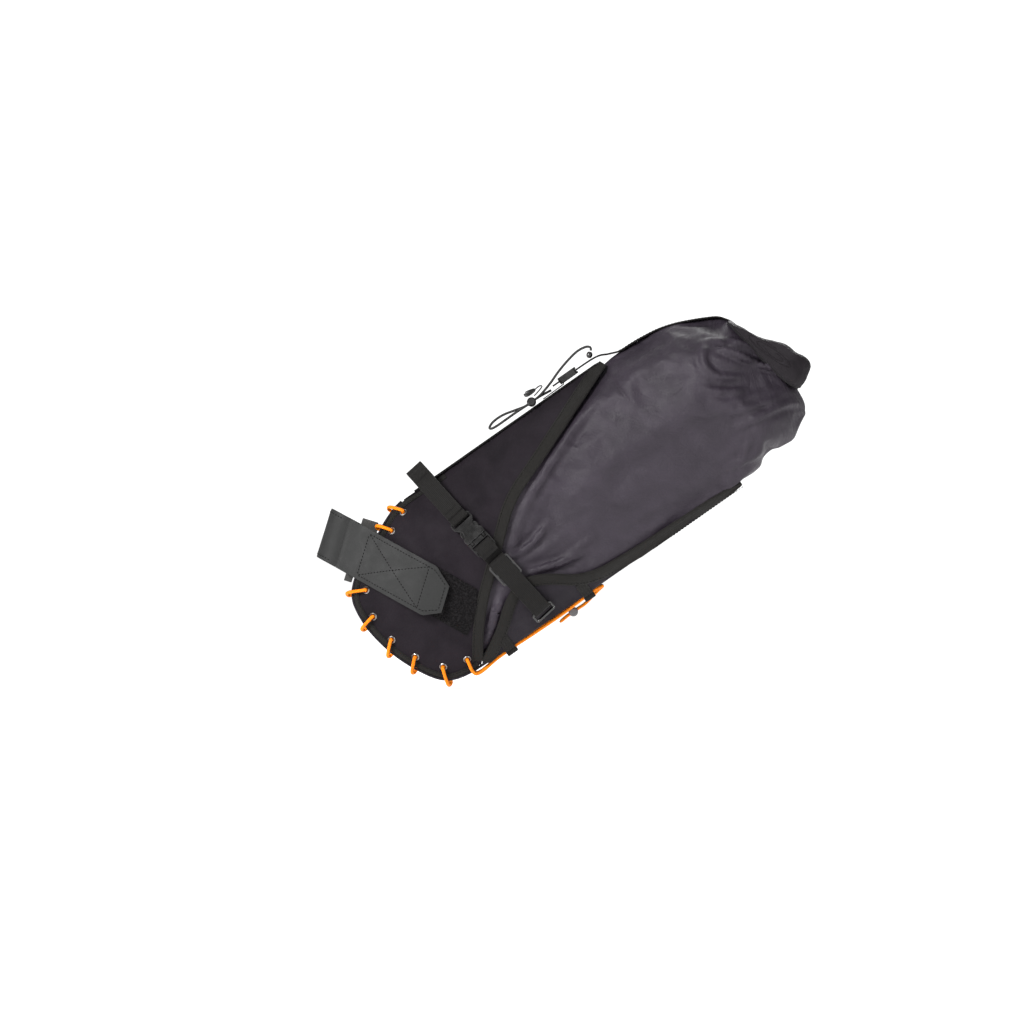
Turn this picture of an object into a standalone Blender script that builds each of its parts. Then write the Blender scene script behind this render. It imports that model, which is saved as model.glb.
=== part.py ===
"""Bicycle saddle bag: a laced holster that hangs behind a seatpost and holds a roll-top dry bag.

Lengths are in millimetres and angles in degrees; new_object() turns lengths into metres.
+X points rearward, +Z up, and the near side (the rider's left) is -Y.
The origin is on the seatpost's axis, at the middle of the seatpost strap.
Two empties carry the design. Under bag_axis, x runs along the bag (a), y across it and z up from it (b).
Under post_axis, z runs up the seatpost, x points back from it (u) and y across.
"""

import math

import bmesh
import bpy
from mathutils import Matrix, Vector
from mathutils.geometry import delaunay_2d_cdt

# --- driving dimensions ---
MM = 0.001
BAG_TILT = 35.0
POST_TILT = 17.0
GAP = 0.35

# holster: outline in the bag's own plane (a, b), and its half-width
RIDGE_B = -4.0
BOTTOM_B = -192.0
DRAWN_RIDGE_B = -4.0
DRAWN_DEPTH = 188.0
CENTRE_A = 130.0
MOUTH_A = 333.0
TAIL_A = 378.0
NOSE_CORNERS = (
    (130, -4), (95, -4), (66, -4), (20, -28), (-21, -48), (-29, -85), (-22, -128),
    (-7, -163), (8, -184), (30, -191), (67, -192), (95, -192), (130, -192),
)
HALF_WIDTH = 45.0
WIDTH_SLOPE = 0.1
BULGE_POWER = 3.5
FLOOR_SHARE = 0.5
RIDGE_SHARE = 0.07
PANEL_T = 1.8
PANEL_GRID = 18.5
EDGE_INSET = 1.4
BASE_GRID = 17.5
SPINE_LIP = 1.2

# mouth edge of the side panels, and upper edge of the tail's wings, as (a, b)
MOUTH_EDGE = (
    (333, -8), (300, -21), (255, -39), (210, -57), (172, -71), (138, -100), (110, -124),
    (90, -140), (70, -162), (56, -181),
)
WING_EDGE = ((62, 6), (80, 28), (103, 47), (127, 54), (156, 42), (194, 16), (240, 9), (378, 6))

# lacing: eyelets in the side panels and holes in the spine, as (a, b) places
EYELETS = (
    (72, -14), (51, -23), (-6, -58), (-16, -85), (-14, -116), (-4, -145), (14, -170), (39, -178),
)
EYELET_FLANGE_R = 4.3
EYELET_BARREL_R = 3.0
EYELET_BORE_R = 2.5
EYELET_FLANGE_T = 0.7
LACE_R = 1.75
LACE_HOLE_R = 3.4
LACE_HOLE_INSET = 5.5
LACE_SHIFT = 7.0

# dry bag
BAG_GAUGE = 0.915
BAG_SIDE_GAP = 4.5
ROLL_HALF = 68.0
BAG_TOP = ((333, -8), (395, -10), (423, -17), (447, -27), (462, -42), (473, -62), (481, -90), (486, -122))
BAG_BOTTOM = ((333, -186), (400, -186), (445, -183), (466, -173), (478, -158), (484, -142), (486, -124))

# seatpost, its pad and its strap
POST_R = 15.4
POST_PLAY = 1.2
STRAP_T = 1.8
STRAP_W = 52.0
STRAP_RAKE = 11.6
STRAP_TAB_END = 128.0
STRAP_FOLD_U = 4.0
PAD_FRONT = POST_R + POST_PLAY
PAD_H = 68.0
PAD_LOW = -38.0
PAD_W = 27.0
STRAP_LIFT = 4.2
STRAP_RISE = 0.55
STRAP_FREE_U = 60.0
LOOP_T = 1.2
PATCH_LIFT = 1.1

# webbing and its hardware
WEB_W = 20.0
WEB_T = 1.6
RAIL_Y = 22.0
RAIL_A = 109.0
RAIL_B = 6.0
STRAP_FOOT = (134.0, BOTTOM_B + 8.0)
BUCKLE_L = 28.0
BUCKLE_W = 25.0
BUCKLE_T = 7.6
GLIDE_L = 26.0
GLIDE_T = 2.6
RING_BAR = 3.0
GLIDE_W = BUCKLE_W + 0.5
WAIST = 5.2
BAR = 2.6
SLOT_L = 4.2
SLOT_W = BUCKLE_W - 4.0
CAVITY_X = 9.0
CAVITY_W = BUCKLE_W - 4.6
CAVITY_T = 4.6
TONGUE_X = 12.0
BAR_T = 3.0
MALE_L = 18.6
MALE_T = 4.0
CATCH_X = 19.7
ARM_Y = BUCKLE_W / 2 - 4.9
ROOT_R = 1.5
ROOT_X = BUCKLE_L + 2.6
CATCH_Y = BUCKLE_W / 2 - 1.6
GLIDE_BAR = 4.0
RING_L = 13.0
RAIL_FREE = 46.0
LOOP_R = 8.2
BUCKLE_AT = 60.0
BUCKLE_LIFT = 6.0
GLIDE_AT = 118.0
GLIDE_LIFT = 6.4
RING_AT = 181.0
RING_LIFT = 6.4

# ridge and lacing hardware
RIDGE_WEB_B = -2.6
CREST_B = 4.6
LADDER_AT = 284.0
LADDER_L = 22.0
LADDER_T = 7.2
LOCK_R = 5.0
LOCK_BORE = 3.9
LOCK_FLOOR = 1.5
LOCK_SPRING = 5.0
LOCK_TRAVEL = 3.5
LOCK_B = 3.8
LACE_LOCK_B = BOTTOM_B - 9.2
LACE_LOCK_Y = 10.0
CORD_R = 1.3


# --- small helpers ---
def clear_scene():
    """Empties the scene, so that only this part is in it."""
    for item in list(bpy.data.objects):
        bpy.data.objects.remove(item, do_unlink=True)


def material(name, colour, roughness, metallic=0.0):
    """A plain Principled material."""
    made = bpy.data.materials.new(name)
    made.use_nodes = True
    shader = made.node_tree.nodes["Principled BSDF"]
    shader.inputs["Base Color"].default_value = (*colour, 1.0)
    shader.inputs["Roughness"].default_value = roughness
    shader.inputs["Metallic"].default_value = metallic
    made.diffuse_color = (*colour, 1.0)
    return made


def empty(name, parent=None, matrix=None):
    """An empty that carries other objects."""
    made = bpy.data.objects.new(name, None)
    bpy.context.collection.objects.link(made)
    made.parent = parent
    if matrix is not None:
        made.matrix_local = matrix
    return made


def new_object(name, points, faces, look, parent=None, matrix=None):
    """A named object from points in millimetres, with its faces pointing out."""
    mesh = bpy.data.meshes.new(name)
    mesh.from_pydata([Vector(p) * MM for p in points], [], faces)
    work = bmesh.new()
    work.from_mesh(mesh)
    bmesh.ops.remove_doubles(work, verts=work.verts, dist=1e-6)
    bmesh.ops.recalc_face_normals(work, faces=work.faces)
    work.to_mesh(mesh)
    work.free()
    mesh.materials.append(look)
    made = bpy.data.objects.new(name, mesh)
    bpy.context.collection.objects.link(made)
    made.parent = parent
    if matrix is not None:
        made.matrix_local = matrix
    return made


def smooth_object(made, angle=35.0):
    """Shades a round piece smooth, with its real edges kept sharp."""
    made.data.shade_smooth()
    made.data.set_sharp_from_angle(angle=math.radians(angle))


def chaikin(points, rounds=2, closed=False):
    """Rounds a polyline's corners by cutting them."""
    line = [Vector(p) for p in points]
    for _ in range(rounds):
        pairs = list(zip(line, line[1:] + line[:1])) if closed else list(zip(line, line[1:]))
        cut = []
        for start, end in pairs:
            cut += [start.lerp(end, 0.25), start.lerp(end, 0.75)]
        line = cut if closed else [line[0]] + cut + [line[-1]]
    return line


def resample(points, step):
    """A polyline with points an even step apart."""
    line = [Vector(p) for p in points]
    marks = [0.0]
    for start, end in zip(line, line[1:]):
        marks.append(marks[-1] + (end - start).length)
    count = max(2, round(marks[-1] / step) + 1)
    made, at = [], 0
    for k in range(count):
        want = marks[-1] * k / (count - 1)
        while at < len(marks) - 2 and marks[at + 1] < want:
            at += 1
        span = max(marks[at + 1] - marks[at], 1e-9)
        made.append(line[at].lerp(line[at + 1], (want - marks[at]) / span))
    return made


def table(rows, at):
    """A value read from (place, value) rows, straight between them."""
    if at <= rows[0][0]:
        return rows[0][1]
    for (x0, y0), (x1, y1) in zip(rows, rows[1:]):
        if at <= x1:
            return y0 + (y1 - y0) * (at - x0) / (x1 - x0)
    return rows[-1][1]


def ease(t):
    """A smooth step from 0 to 1."""
    t = min(max(t, 0.0), 1.0)
    return t * t * (3 - 2 * t)


def inside(point, loop):
    """Whether a 2D point is inside a closed loop."""
    found = False
    for (x0, y0), (x1, y1) in zip(loop, loop[1:] + loop[:1]):
        if (y0 > point[1]) != (y1 > point[1]):
            if point[0] < (x1 - x0) * (point[1] - y0) / (y1 - y0) + x0:
                found = not found
    return found


def frame_matrix(place, along, out):
    """A matrix whose x runs along, whose z points out, and whose origin is the place in millimetres."""
    z = Vector(out).normalized()
    x = (Vector(along) - z * Vector(along).dot(z)).normalized()
    y = z.cross(x)
    turn = Matrix((x, y, z)).transposed().to_4x4()
    return Matrix.Translation(Vector(place) * MM) @ turn


# --- the bag's shape ---
def at_depth(rows):
    """Places (a, b) drawn for the drawn depth, moved to suit the bag's own depth."""
    stretch = (RIDGE_B - BOTTOM_B) / DRAWN_DEPTH
    return [(a, RIDGE_B + (b - DRAWN_RIDGE_B) * stretch) for a, b in rows]


NOSE = [(p.x, p.y) for p in chaikin([(*p, 0) for p in at_depth(NOSE_CORNERS)], 2)]
CENTRE_B = (RIDGE_B + BOTTOM_B) / 2
HALF_HEIGHT = (RIDGE_B - BOTTOM_B) / 2
EYELET_SPOTS = at_depth(EYELETS)


def gauge(a, b):
    """How far (a, b) is from the bag's centre line, as a share: 1 on the outline."""
    if a >= CENTRE_A:
        return abs(b - CENTRE_B) / HALF_HEIGHT
    da, db = a - CENTRE_A, b - CENTRE_B
    best = 0.0
    for (x0, y0), (x1, y1) in zip(NOSE, NOSE[1:]):
        ex, ey = x1 - x0, y1 - y0
        fx, fy = x0 - CENTRE_A, y0 - CENTRE_B
        cross = fx * ey - fy * ex
        best = max(best, (da * ey - db * ex) / cross)
    return best


def half_width(a, b, shrink=1.0, narrow_top=False):
    """The bag's half-width at (a, b), out to the skin."""
    s = min(gauge(a, b) / shrink, 1.0)
    top = ease((b + 80) / 60)
    if not narrow_top:
        top *= ease((a - 40) / 60)
    share = FLOOR_SHARE + (RIDGE_SHARE - FLOOR_SHARE) * top
    return (HALF_WIDTH + WIDTH_SLOPE * a) * (share + (1 - share) * (1 - s**BULGE_POWER))


def skin(a, b, side, lift=0.0):
    """A point on the bag's side skin, lifted off it by some millimetres. side is -1 or 1."""
    d = 0.5
    w = half_width(a, b)
    wa = (half_width(a + d, b) - half_width(a - d, b)) / (2 * d)
    wb = (half_width(a, b + d) - half_width(a, b - d)) / (2 * d)
    normal = Vector((-wa, 1.0, -wb)).normalized()
    point = Vector((a, w, b)) + normal * lift
    return Vector((point.x, point.y * side, point.z))


def skin_normal(a, b, side):
    """The outward direction of the side skin."""
    return (skin(a, b, side, 1.0) - skin(a, b, side, 0.0)).normalized()


def patch_solid(name, loop, holes, place, thickness, look, parent, grid=PANEL_GRID):
    """A closed sheet over a 2D region with holes. place(u, v, lift) maps it to the bag."""
    loops = [loop] + holes
    flat, edges = [], []
    for ring in loops:
        base = len(flat)
        flat += [Vector(p) for p in ring]
        edges += [(base + k, base + (k + 1) % len(ring)) for k in range(len(ring))]
    border = [Vector(p) for ring in loops for p in ring]
    lows = [min(p[k] for p in loop) for k in (0, 1)]
    highs = [max(p[k] for p in loop) for k in (0, 1)]
    row, v = 0, lows[1] + grid / 2
    while v < highs[1]:
        u = lows[0] + grid * (0.5 if row % 2 else 0.25)
        while u < highs[0]:
            spot = Vector((u, v))
            clear = all((spot - q).length > 0.5 * grid for q in border)
            if clear and inside(spot, loop) and not any(inside(spot, h) for h in holes):
                flat.append(spot)
            u += grid
        v += grid * 0.87
        row += 1
    verts, _, faces, _, _, _ = delaunay_2d_cdt(flat, edges, [], 0, 1e-5)
    kept = []
    for face in faces:
        middle = sum((verts[k] for k in face), Vector((0, 0))) / 3
        first, second = verts[face[1]] - verts[face[0]], verts[face[2]] - verts[face[0]]
        if abs(first.cross(second)) < 0.02:
            continue
        if inside(middle, loop) and not any(inside(middle, h) for h in holes):
            kept.append(tuple(face))
    used = sorted({k for face in kept for k in face})
    order = {k: n for n, k in enumerate(used)}
    kept = [tuple(order[k] for k in face) for face in kept]
    count = len(used)
    outer = [place(verts[k].x, verts[k].y, 0.0) for k in used]
    inner = [place(verts[k].x, verts[k].y, -thickness) for k in used]
    sides = {}
    for face in kept:
        for k in range(3):
            pair = (face[k], face[(k + 1) % 3])
            sides[pair] = sides.get(pair, 0) + 1
    walls = [p for p in sides if (p[1], p[0]) not in sides]
    solid = list(kept)
    solid += [tuple(count + k for k in reversed(face)) for face in kept]
    solid += [(q, p, p + count, q + count) for p, q in walls]
    return new_object(name, outer + inner, solid, look, parent)


def ribbon(name, centres, acrosses, width, thickness, look, parent, matrix=None):
    """A strap: a flat section of one width and thickness along a line of points."""
    line = [Vector(p) for p in centres]
    rows = []
    for k, point in enumerate(line):
        ahead = line[min(k + 1, len(line) - 1)] - line[max(k - 1, 0)]
        along = ahead.normalized()
        across = Vector(acrosses[k] if isinstance(acrosses, list) else acrosses)
        across = (across - along * across.dot(along)).normalized()
        out = across.cross(along)
        half_w = across * width / 2
        half_t = out * thickness / 2
        rows.append((point - half_w - half_t, point + half_w - half_t))
        rows[-1] += (point + half_w + half_t, point - half_w + half_t)
    points = [p for row in rows for p in row]
    faces = [(0, 1, 2, 3), tuple(4 * (len(rows) - 1) + k for k in (3, 2, 1, 0))]
    for r in range(len(rows) - 1):
        for k in range(4):
            nxt = (k + 1) % 4
            faces.append((4 * r + k, 4 * r + nxt, 4 * r + 4 + nxt, 4 * r + 4 + k))
    return new_object(name, points, faces, look, parent, matrix)


def cord(name, points, radius, look, parent, resolution=2):
    """A round cord along a line of points, with closed ends."""
    curve = bpy.data.curves.new(name, "CURVE")
    curve.dimensions = "3D"
    spline = curve.splines.new("POLY")
    spline.points.add(len(points) - 1)
    for slot, point in zip(spline.points, points):
        slot.co = (*(Vector(point) * MM), 1.0)
    curve.bevel_depth = radius * MM
    curve.bevel_resolution = resolution
    curve.render_resolution_u = 0
    curve.use_fill_caps = True
    curve.materials.append(look)
    made = bpy.data.objects.new(name, curve)
    bpy.context.collection.objects.link(made)
    made.parent = parent
    return made


def smooth_route(points, step):
    """A smooth curve through a few points, read at an even step."""
    line = [Vector(p) for p in points]
    line = [line[0] * 2 - line[1]] + line + [line[-1] * 2 - line[-2]]
    fine = []
    for p0, p1, p2, p3 in zip(line, line[1:], line[2:], line[3:]):
        for k in range(8):
            t = k / 8
            fine.append(0.5 * (2 * p1 + (p2 - p0) * t + (2 * p0 - 5 * p1 + 4 * p2 - p3) * t**2
                               + (3 * p1 - p0 - 3 * p2 + p3) * t**3))
    fine.append(line[-2])
    return resample(fine, step)


def extruded(name, outline, low, high, look, parent, matrix=None, bevel=0.0, cutters=()):
    """A plate: an outline in the xy plane from z=low to z=high, with cuts taken out of it."""
    count = len(outline)
    points = [(x, y, low) for x, y in outline] + [(x, y, high) for x, y in outline]
    faces = [tuple(range(count))[::-1], tuple(range(count, 2 * count))]
    faces += [(k, (k + 1) % count, count + (k + 1) % count, count + k) for k in range(count)]
    made = new_object(name, points, faces, look, parent, matrix)
    for n, (shape, bottom, top) in enumerate(cutters):
        cut(made, f"{name}_cut{n}", shape, bottom, top)
    if bevel:
        edge = made.modifiers.new("edges", "BEVEL")
        edge.width = bevel * MM
        edge.segments = 1
        edge.limit_method = "ANGLE"
        edge.angle_limit = math.radians(50)
    return made


def cut(made, name, outline, low, high):
    """Takes a prism out of an object. The cutter stays as a wire guide."""
    count = len(outline)
    points = [(x, y, low) for x, y in outline] + [(x, y, high) for x, y in outline]
    faces = [tuple(range(count))[::-1], tuple(range(count, 2 * count))]
    faces += [(k, (k + 1) % count, count + (k + 1) % count, count + k) for k in range(count)]
    tool = new_object(name, points, faces, made.data.materials[0], made)
    tool.hide_render = True
    tool.display_type = "WIRE"
    taken = made.modifiers.new(name, "BOOLEAN")
    taken.operation = "DIFFERENCE"
    taken.solver = "EXACT"
    taken.object = tool


def box_outline(x0, x1, y0, y1):
    """A rectangle as an outline."""
    return [(x0, y0), (x1, y0), (x1, y1), (x0, y1)]


def lathe(name, profile, look, parent, matrix=None, sides=16):
    """A turned piece: a closed (radius, height) profile spun round z."""
    points, faces = [], []
    count = len(profile)
    for k in range(sides):
        turn = 2 * math.pi * k / sides
        points += [(r * math.cos(turn), r * math.sin(turn), z) for r, z in profile]
    for k in range(sides):
        ahead = (k + 1) % sides
        for n in range(count):
            nxt = (n + 1) % count
            corner = (k * count + n, ahead * count + n, ahead * count + nxt, k * count + nxt)
            if profile[n][0] == 0 and profile[nxt][0] == 0:
                continue
            faces.append(corner)
    made = new_object(name, points, faces, look, parent, matrix)
    work = bmesh.new()
    work.from_mesh(made.data)
    bmesh.ops.dissolve_degenerate(work, dist=1e-7, edges=work.edges)
    bmesh.ops.recalc_face_normals(work, faces=work.faces)
    work.to_mesh(made.data)
    work.free()
    smooth_object(made)
    return made


# --- looks ---
def looks():
    """Every material, by name."""
    return {
        "panel": material("panel_nylon", (0.030, 0.025, 0.030), 0.7),
        "base": material("base_nylon", (0.028, 0.025, 0.028), 0.7),
        "webbing": material("webbing", (0.040, 0.038, 0.035), 0.75),
        "strap": material("strap_rubber", (0.055, 0.055, 0.055), 0.6),
        "loop": material("loop_tape", (0.012, 0.012, 0.012), 0.95),
        "foam": material("pad_foam", (0.05, 0.05, 0.05), 0.9),
        "lace": material("orange_bungee", (1.0, 0.25, 0.0), 0.55),
        "cord": material("black_bungee", (0.02, 0.02, 0.02), 0.6),
        "plastic": material("black_acetal", (0.035, 0.034, 0.032), 0.4),
        "steel": material("eyelet_steel", (0.25, 0.24, 0.24), 0.35, 1.0),
        "lock": material("grey_acetal", (0.13, 0.13, 0.14), 0.35),
        "spring": material("spring_steel", (0.5, 0.5, 0.5), 0.3, 1.0),
        "dry": material("dry_bag_nylon", (0.075, 0.062, 0.075), 0.5),
        "trim": material("stiffener_band", (0.030, 0.028, 0.026), 0.7),
    }


# --- holster ---
def side_outline():
    """The side panel's outline in (a, b): mouth edge, then round the nose, then the ridge."""
    mouth = [(p.x, p.y) for p in chaikin([(*p, 0) for p in at_depth(MOUTH_EDGE)], 1)]
    rim = []
    ring = [Vector(p) for p in NOSE]
    for k in range(1, len(ring) - 1):
        ahead = (ring[k + 1] - ring[k - 1]).normalized()
        rim.append(ring[k] + Vector((ahead.y, -ahead.x)) * -EDGE_INSET)
    low_end = mouth[-1][0]
    nose = [(p.x, p.y) for p in rim if not (p.y < CENTRE_B and p.x > low_end - 4)]
    nose = [(p.x, p.y) for p in resample([Vector((*p, 0)) for p in nose], 9)]
    ridge_b = RIDGE_B - EDGE_INSET
    foot = (low_end - 3, BOTTOM_B + EDGE_INSET)
    top = [(a, ridge_b) for a in (160, 195, 230, 265, 300)]
    return mouth + [foot] + nose[::-1] + top


def circle(centre, radius, sides=8):
    """A round hole's outline."""
    made = []
    for k in range(sides):
        turn = 2 * math.pi * (k + 0.5) / sides
        made.append((centre[0] + radius * math.cos(turn), centre[1] + radius * math.sin(turn)))
    return made


def side_panels(look, parent):
    """The two quilt-like side panels, with a punched hole under each eyelet."""
    loop = side_outline()
    holes = [circle(spot, EYELET_BARREL_R + 0.6) for spot in EYELET_SPOTS]
    for side, word in ((-1, "left"), (1, "right")):
        place = lambda a, b, lift, side=side: skin(a, b, side, lift)
        patch_solid(f"side_panel_{word}", loop, holes, place, PANEL_T, look, parent)


def spine_line():
    """The outline from the ridge's front corner round the nose and along the bottom to the tail."""
    ring = [Vector((*p, 0)) for p in NOSE]
    start = next(k for k, p in enumerate(ring) if p.x < 84)
    line = ring[start:] + [Vector((TAIL_A, BOTTOM_B, 0))]
    return resample(line, 7.5)


def spine_place(line, marks):
    """A function from (distance along the spine, distance across it, lift) to the bag's frame."""
    def at(t):
        t = min(max(t, 0.0), marks[-1])
        k = 0
        while k < len(marks) - 2 and marks[k + 1] < t:
            k += 1
        share = (t - marks[k]) / (marks[k + 1] - marks[k])
        point = line[k].lerp(line[k + 1], share)
        ahead = (line[k + 1] - line[k]).normalized()
        if 0 < k < len(line) - 2:
            before = (line[k] - line[k - 1]).normalized()
            after = (line[k + 2] - line[k + 1]).normalized()
            ahead = (ahead + before * (1 - share) * 0.5 + after * share * 0.5).normalized()
        return point, Vector((ahead.y, -ahead.x, 0)) * -1

    def place(t, q, lift):
        point, inward = at(t)
        edge = half_width(point.x - inward.x, point.y - inward.y) + SPINE_LIP
        side = -1 if q < 0 else 1
        if abs(q) <= edge:
            spot = point - inward * (PANEL_T + lift)
            return Vector((spot.x, q, spot.y))
        rise = abs(q) - edge
        b = BOTTOM_B - PANEL_T + rise
        b = min(b, CENTRE_B)
        safe_b = max(b, BOTTOM_B + 0.6)
        on_skin = skin(point.x, safe_b, side, lift)
        return Vector((on_skin.x, on_skin.y, on_skin.z - (safe_b - b)))

    return place




def base_panel(look, parent):
    """The spine, floor and tail in one piece, with wings that rise beside the dry bag."""
    line = spine_line()
    marks = [0.0]
    for start, end in zip(line, line[1:]):
        marks.append(marks[-1] + (end - start).length)
    place = spine_place(line, marks)
    at_wing = next(m for p, m in zip(line, marks) if p.x > 66 and p.y < CENTRE_B)
    loop_up, loop_down = [], []
    for point, mark in zip(line, marks):
        edge = half_width(point.x, point.y) + SPINE_LIP
        rise = table(WING_EDGE, point.x) if mark >= at_wing else 0.0
        reach = edge + rise if rise else edge - 0.2
        loop_up.append((mark, -reach))
        loop_down.append((mark, reach))
    loop = loop_up + loop_down[::-1]
    holes = []
    for spot in spine_holes(line, marks):
        holes += [circle((spot[0], spot[1]), LACE_HOLE_R), circle((spot[0], -spot[1]), LACE_HOLE_R)]
    patch_solid("base_panel", loop, holes, place, PANEL_T, look, parent, grid=BASE_GRID)
    return line, marks, place


def spine_holes(line, marks):
    """The lace holes in the spine: one across from each eyelet, a short way in from its edge."""
    found = []
    for a, b in EYELET_SPOTS:
        spot = Vector((a, b, 0))
        k = min(range(len(line)), key=lambda n: (line[n] - spot).length)
        edge = half_width(line[k].x, line[k].y)
        found.append((marks[k] + LACE_SHIFT, edge - LACE_HOLE_INSET))
    return found




def eyelets(look, parent):
    """A turned metal eyelet in each of the side panels' holes."""
    top = EYELET_FLANGE_T + GAP
    low = -(PANEL_T + GAP + EYELET_FLANGE_T)
    profile = [
        (EYELET_BORE_R, top), (EYELET_FLANGE_R, top - 0.3),
        (EYELET_FLANGE_R, GAP), (EYELET_BARREL_R, GAP), (EYELET_BARREL_R, -(PANEL_T + GAP)),
        (EYELET_FLANGE_R - 0.4, -(PANEL_T + GAP)), (EYELET_FLANGE_R - 0.4, low), (EYELET_BORE_R, low),
    ]
    for side, word in ((-1, "left"), (1, "right")):
        for n, (a, b) in enumerate(EYELET_SPOTS, 1):
            spot = skin(a, b, side, 0.0)
            out = skin_normal(a, b, side)
            matrix = frame_matrix(spot, (1, 0, 0), out)
            lathe(f"eyelet_{word}_{n}", profile, look, parent, matrix, sides=8)


def lacing(look, parent, line, marks, place, lanes):
    """The orange whip lacing: out through an eyelet, over the edge, in through the spine, and on.

    Past the last eyelet each lace runs back under the floor, through its two webbing loops, and
    turns forward into the cord lock.
    """
    holes = spine_holes(line, marks)
    for side, word in ((-1, "left"), (1, "right")):
        points = []
        for n, ((a, b), (mark, q)) in enumerate(zip(EYELET_SPOTS, holes)):
            out = skin_normal(a, b, side)
            base = skin(a, b, side, 0.0)
            inner = base - out * (PANEL_T + LACE_R + 2.4)
            outer = base + out * (EYELET_FLANGE_T + 3.2)
            hole_out = place(mark, side * q, 3.4)
            hole_in = place(mark, side * q, -(PANEL_T + LACE_R + 1.0))
            lip = place(mark - LACE_SHIFT * 0.4, side * (q + LACE_HOLE_INSET), 3.4)
            lip = Vector((lip.x, lip.y + side * 3.4, lip.z))
            points += [inner, base, outer, lip]
            if n < len(EYELET_SPOTS) - 1:
                points += [hole_out, place(mark, side * q, -PANEL_T / 2), hole_in]
        run_b = BOTTOM_B - PANEL_T - LACE_R - 1.6
        lane = lanes[1] if side < 0 else lanes[0]
        tail = [(a, side * (half_width(a, BOTTOM_B) - 7), run_b) for a in (64, 74, 90, 112, 146, 173, 189)]
        tail += [(197, side * 19, run_b - 0.4), (198, side * 13 - 3, run_b - 1.0)]
        tail += [(190, side * 6 - 3, run_b - 2.2), (174, lane, LACE_LOCK_B)]
        tail += [(164, lane, LACE_LOCK_B), (150, lane, LACE_LOCK_B)]
        tail += [(140, lane + side * 1.5, LACE_LOCK_B - 1)]
        points += smooth_route([points[-1]] + tail, 5.5)[1:]
        cord(f"lacing_{word}", points, LACE_R, look, parent, resolution=1)


# --- dry bag ---
def dry_bag(look, parent):
    """The stuffed dry bag: sections along the bag, narrower than the holster where it is inside it."""
    first = NOSE_A + 14.0
    places = [first + k * 14 for k in range(6)] + list(range(86, 334, 26))
    places += [352, 376, 400, 420, 436, 450, 460, 468, 475, 480, 483.5]
    rows = []
    for a in places:
        top, low = dry_bag_span(a)
        rows.append(dry_bag_section(a, top, low))
    count = len(rows[0])
    points = [p for row in rows for p in row]
    faces = [tuple(range(count)), tuple(range(len(points) - count, len(points)))[::-1]]
    for r in range(len(rows) - 1):
        for k in range(count):
            nxt = (k + 1) % count
            faces.append((count * r + k, count * r + nxt, count * (r + 1) + nxt, count * (r + 1) + k))
    made = new_object("dry_bag", points, faces, look, parent)
    smooth_object(made, 60)
    return made


NOSE_A = min(a for a, b in NOSE)


def dry_bag_span(a):
    """The dry bag's top and bottom at a place along the bag."""
    if a >= MOUTH_A:
        return table(at_depth(BAG_TOP), a), table(at_depth(BAG_BOTTOM), a)
    level = BAG_GAUGE
    top, low = CENTRE_B, CENTRE_B
    while gauge(a, top) < level and top < RIDGE_B:
        top += 0.5
    while gauge(a, low) < level and low > BOTTOM_B:
        low -= 0.5
    behind = ease((a - 200) / 130)
    top += (at_depth(BAG_TOP)[0][1] - top) * behind * 0.5
    low += (at_depth(BAG_BOTTOM)[0][1] - low) * behind * 0.5
    return top, low


def dry_bag_section(a, top, low):
    """One closed section: flat underneath, bulging at the sides and narrow at the ridge."""
    side = []
    steps = 9
    for k in range(steps + 1):
        swing = math.pi * k / steps
        b = (top + low) / 2 + (top - low) / 2 * math.cos(swing)
        inside_b = CENTRE_B + (b - (top + low) / 2) * BAG_GAUGE * HALF_HEIGHT / max((top - low) / 2, 1)
        probe = inside_b if a > CENTRE_A else b
        w = half_width(min(a, 430), probe, BAG_GAUGE, narrow_top=True) - BAG_SIDE_GAP
        if a > 400:
            w *= math.sqrt(max(1 - ((a - 400) / 88) ** 2.2, 0.02))
        side.append((a, max(w, 2.0), b))
    return [Vector(p) for p in side] + [Vector((x, -y, z)) for x, y, z in reversed(side)]


def roll_top(look, parent):
    """The dry bag's mouth, folded flat and rolled down its rear end."""
    outline = [(476, -60), (489, -84), (501, -106), (510, -130), (503, -141), (489, -142)]
    outline += [(488.5, -122), (484, -90)]
    stand = Matrix.Rotation(math.radians(90), 4, "X")
    extruded("roll_top", at_depth(outline)[::-1], -ROLL_HALF, ROLL_HALF, look, parent, stand, 2.5)




# --- seatpost attachment ---
def bag_to_post():
    """Turns a direction or a place in the bag's frame into the seatpost's frame."""
    return Matrix.Rotation(math.radians(-POST_TILT - BAG_TILT), 3, "Y")


def post_pad(look, parent, line):
    """The grip pad: a wedge between the seatpost and the spine, flat where it meets the post."""
    turn = bag_to_post()
    spine = []
    for before, after in zip(line, line[1:]):
        ahead = (after - before).normalized()
        out = Vector((before.x, 0, before.y)) + Vector((-ahead.y, 0, ahead.x)) * -(2 * PANEL_T + GAP)
        spot = turn @ out
        if before.x < 60 and before.y > CENTRE_B and PAD_LOW < spot.z < PAD_LOW + PAD_H:
            spine.append((spot.x, spot.z))
    outline = [(PAD_FRONT, PAD_LOW), (spine[-1][0], PAD_LOW)] + spine[::-1]
    outline += [(spine[0][0] - 2, PAD_LOW + PAD_H), (PAD_FRONT, PAD_LOW + PAD_H)]
    stand = Matrix.Rotation(math.radians(90), 4, "X")
    extruded("post_grip_pad", outline, -PAD_W / 2, PAD_W / 2, look, parent, stand)


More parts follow.
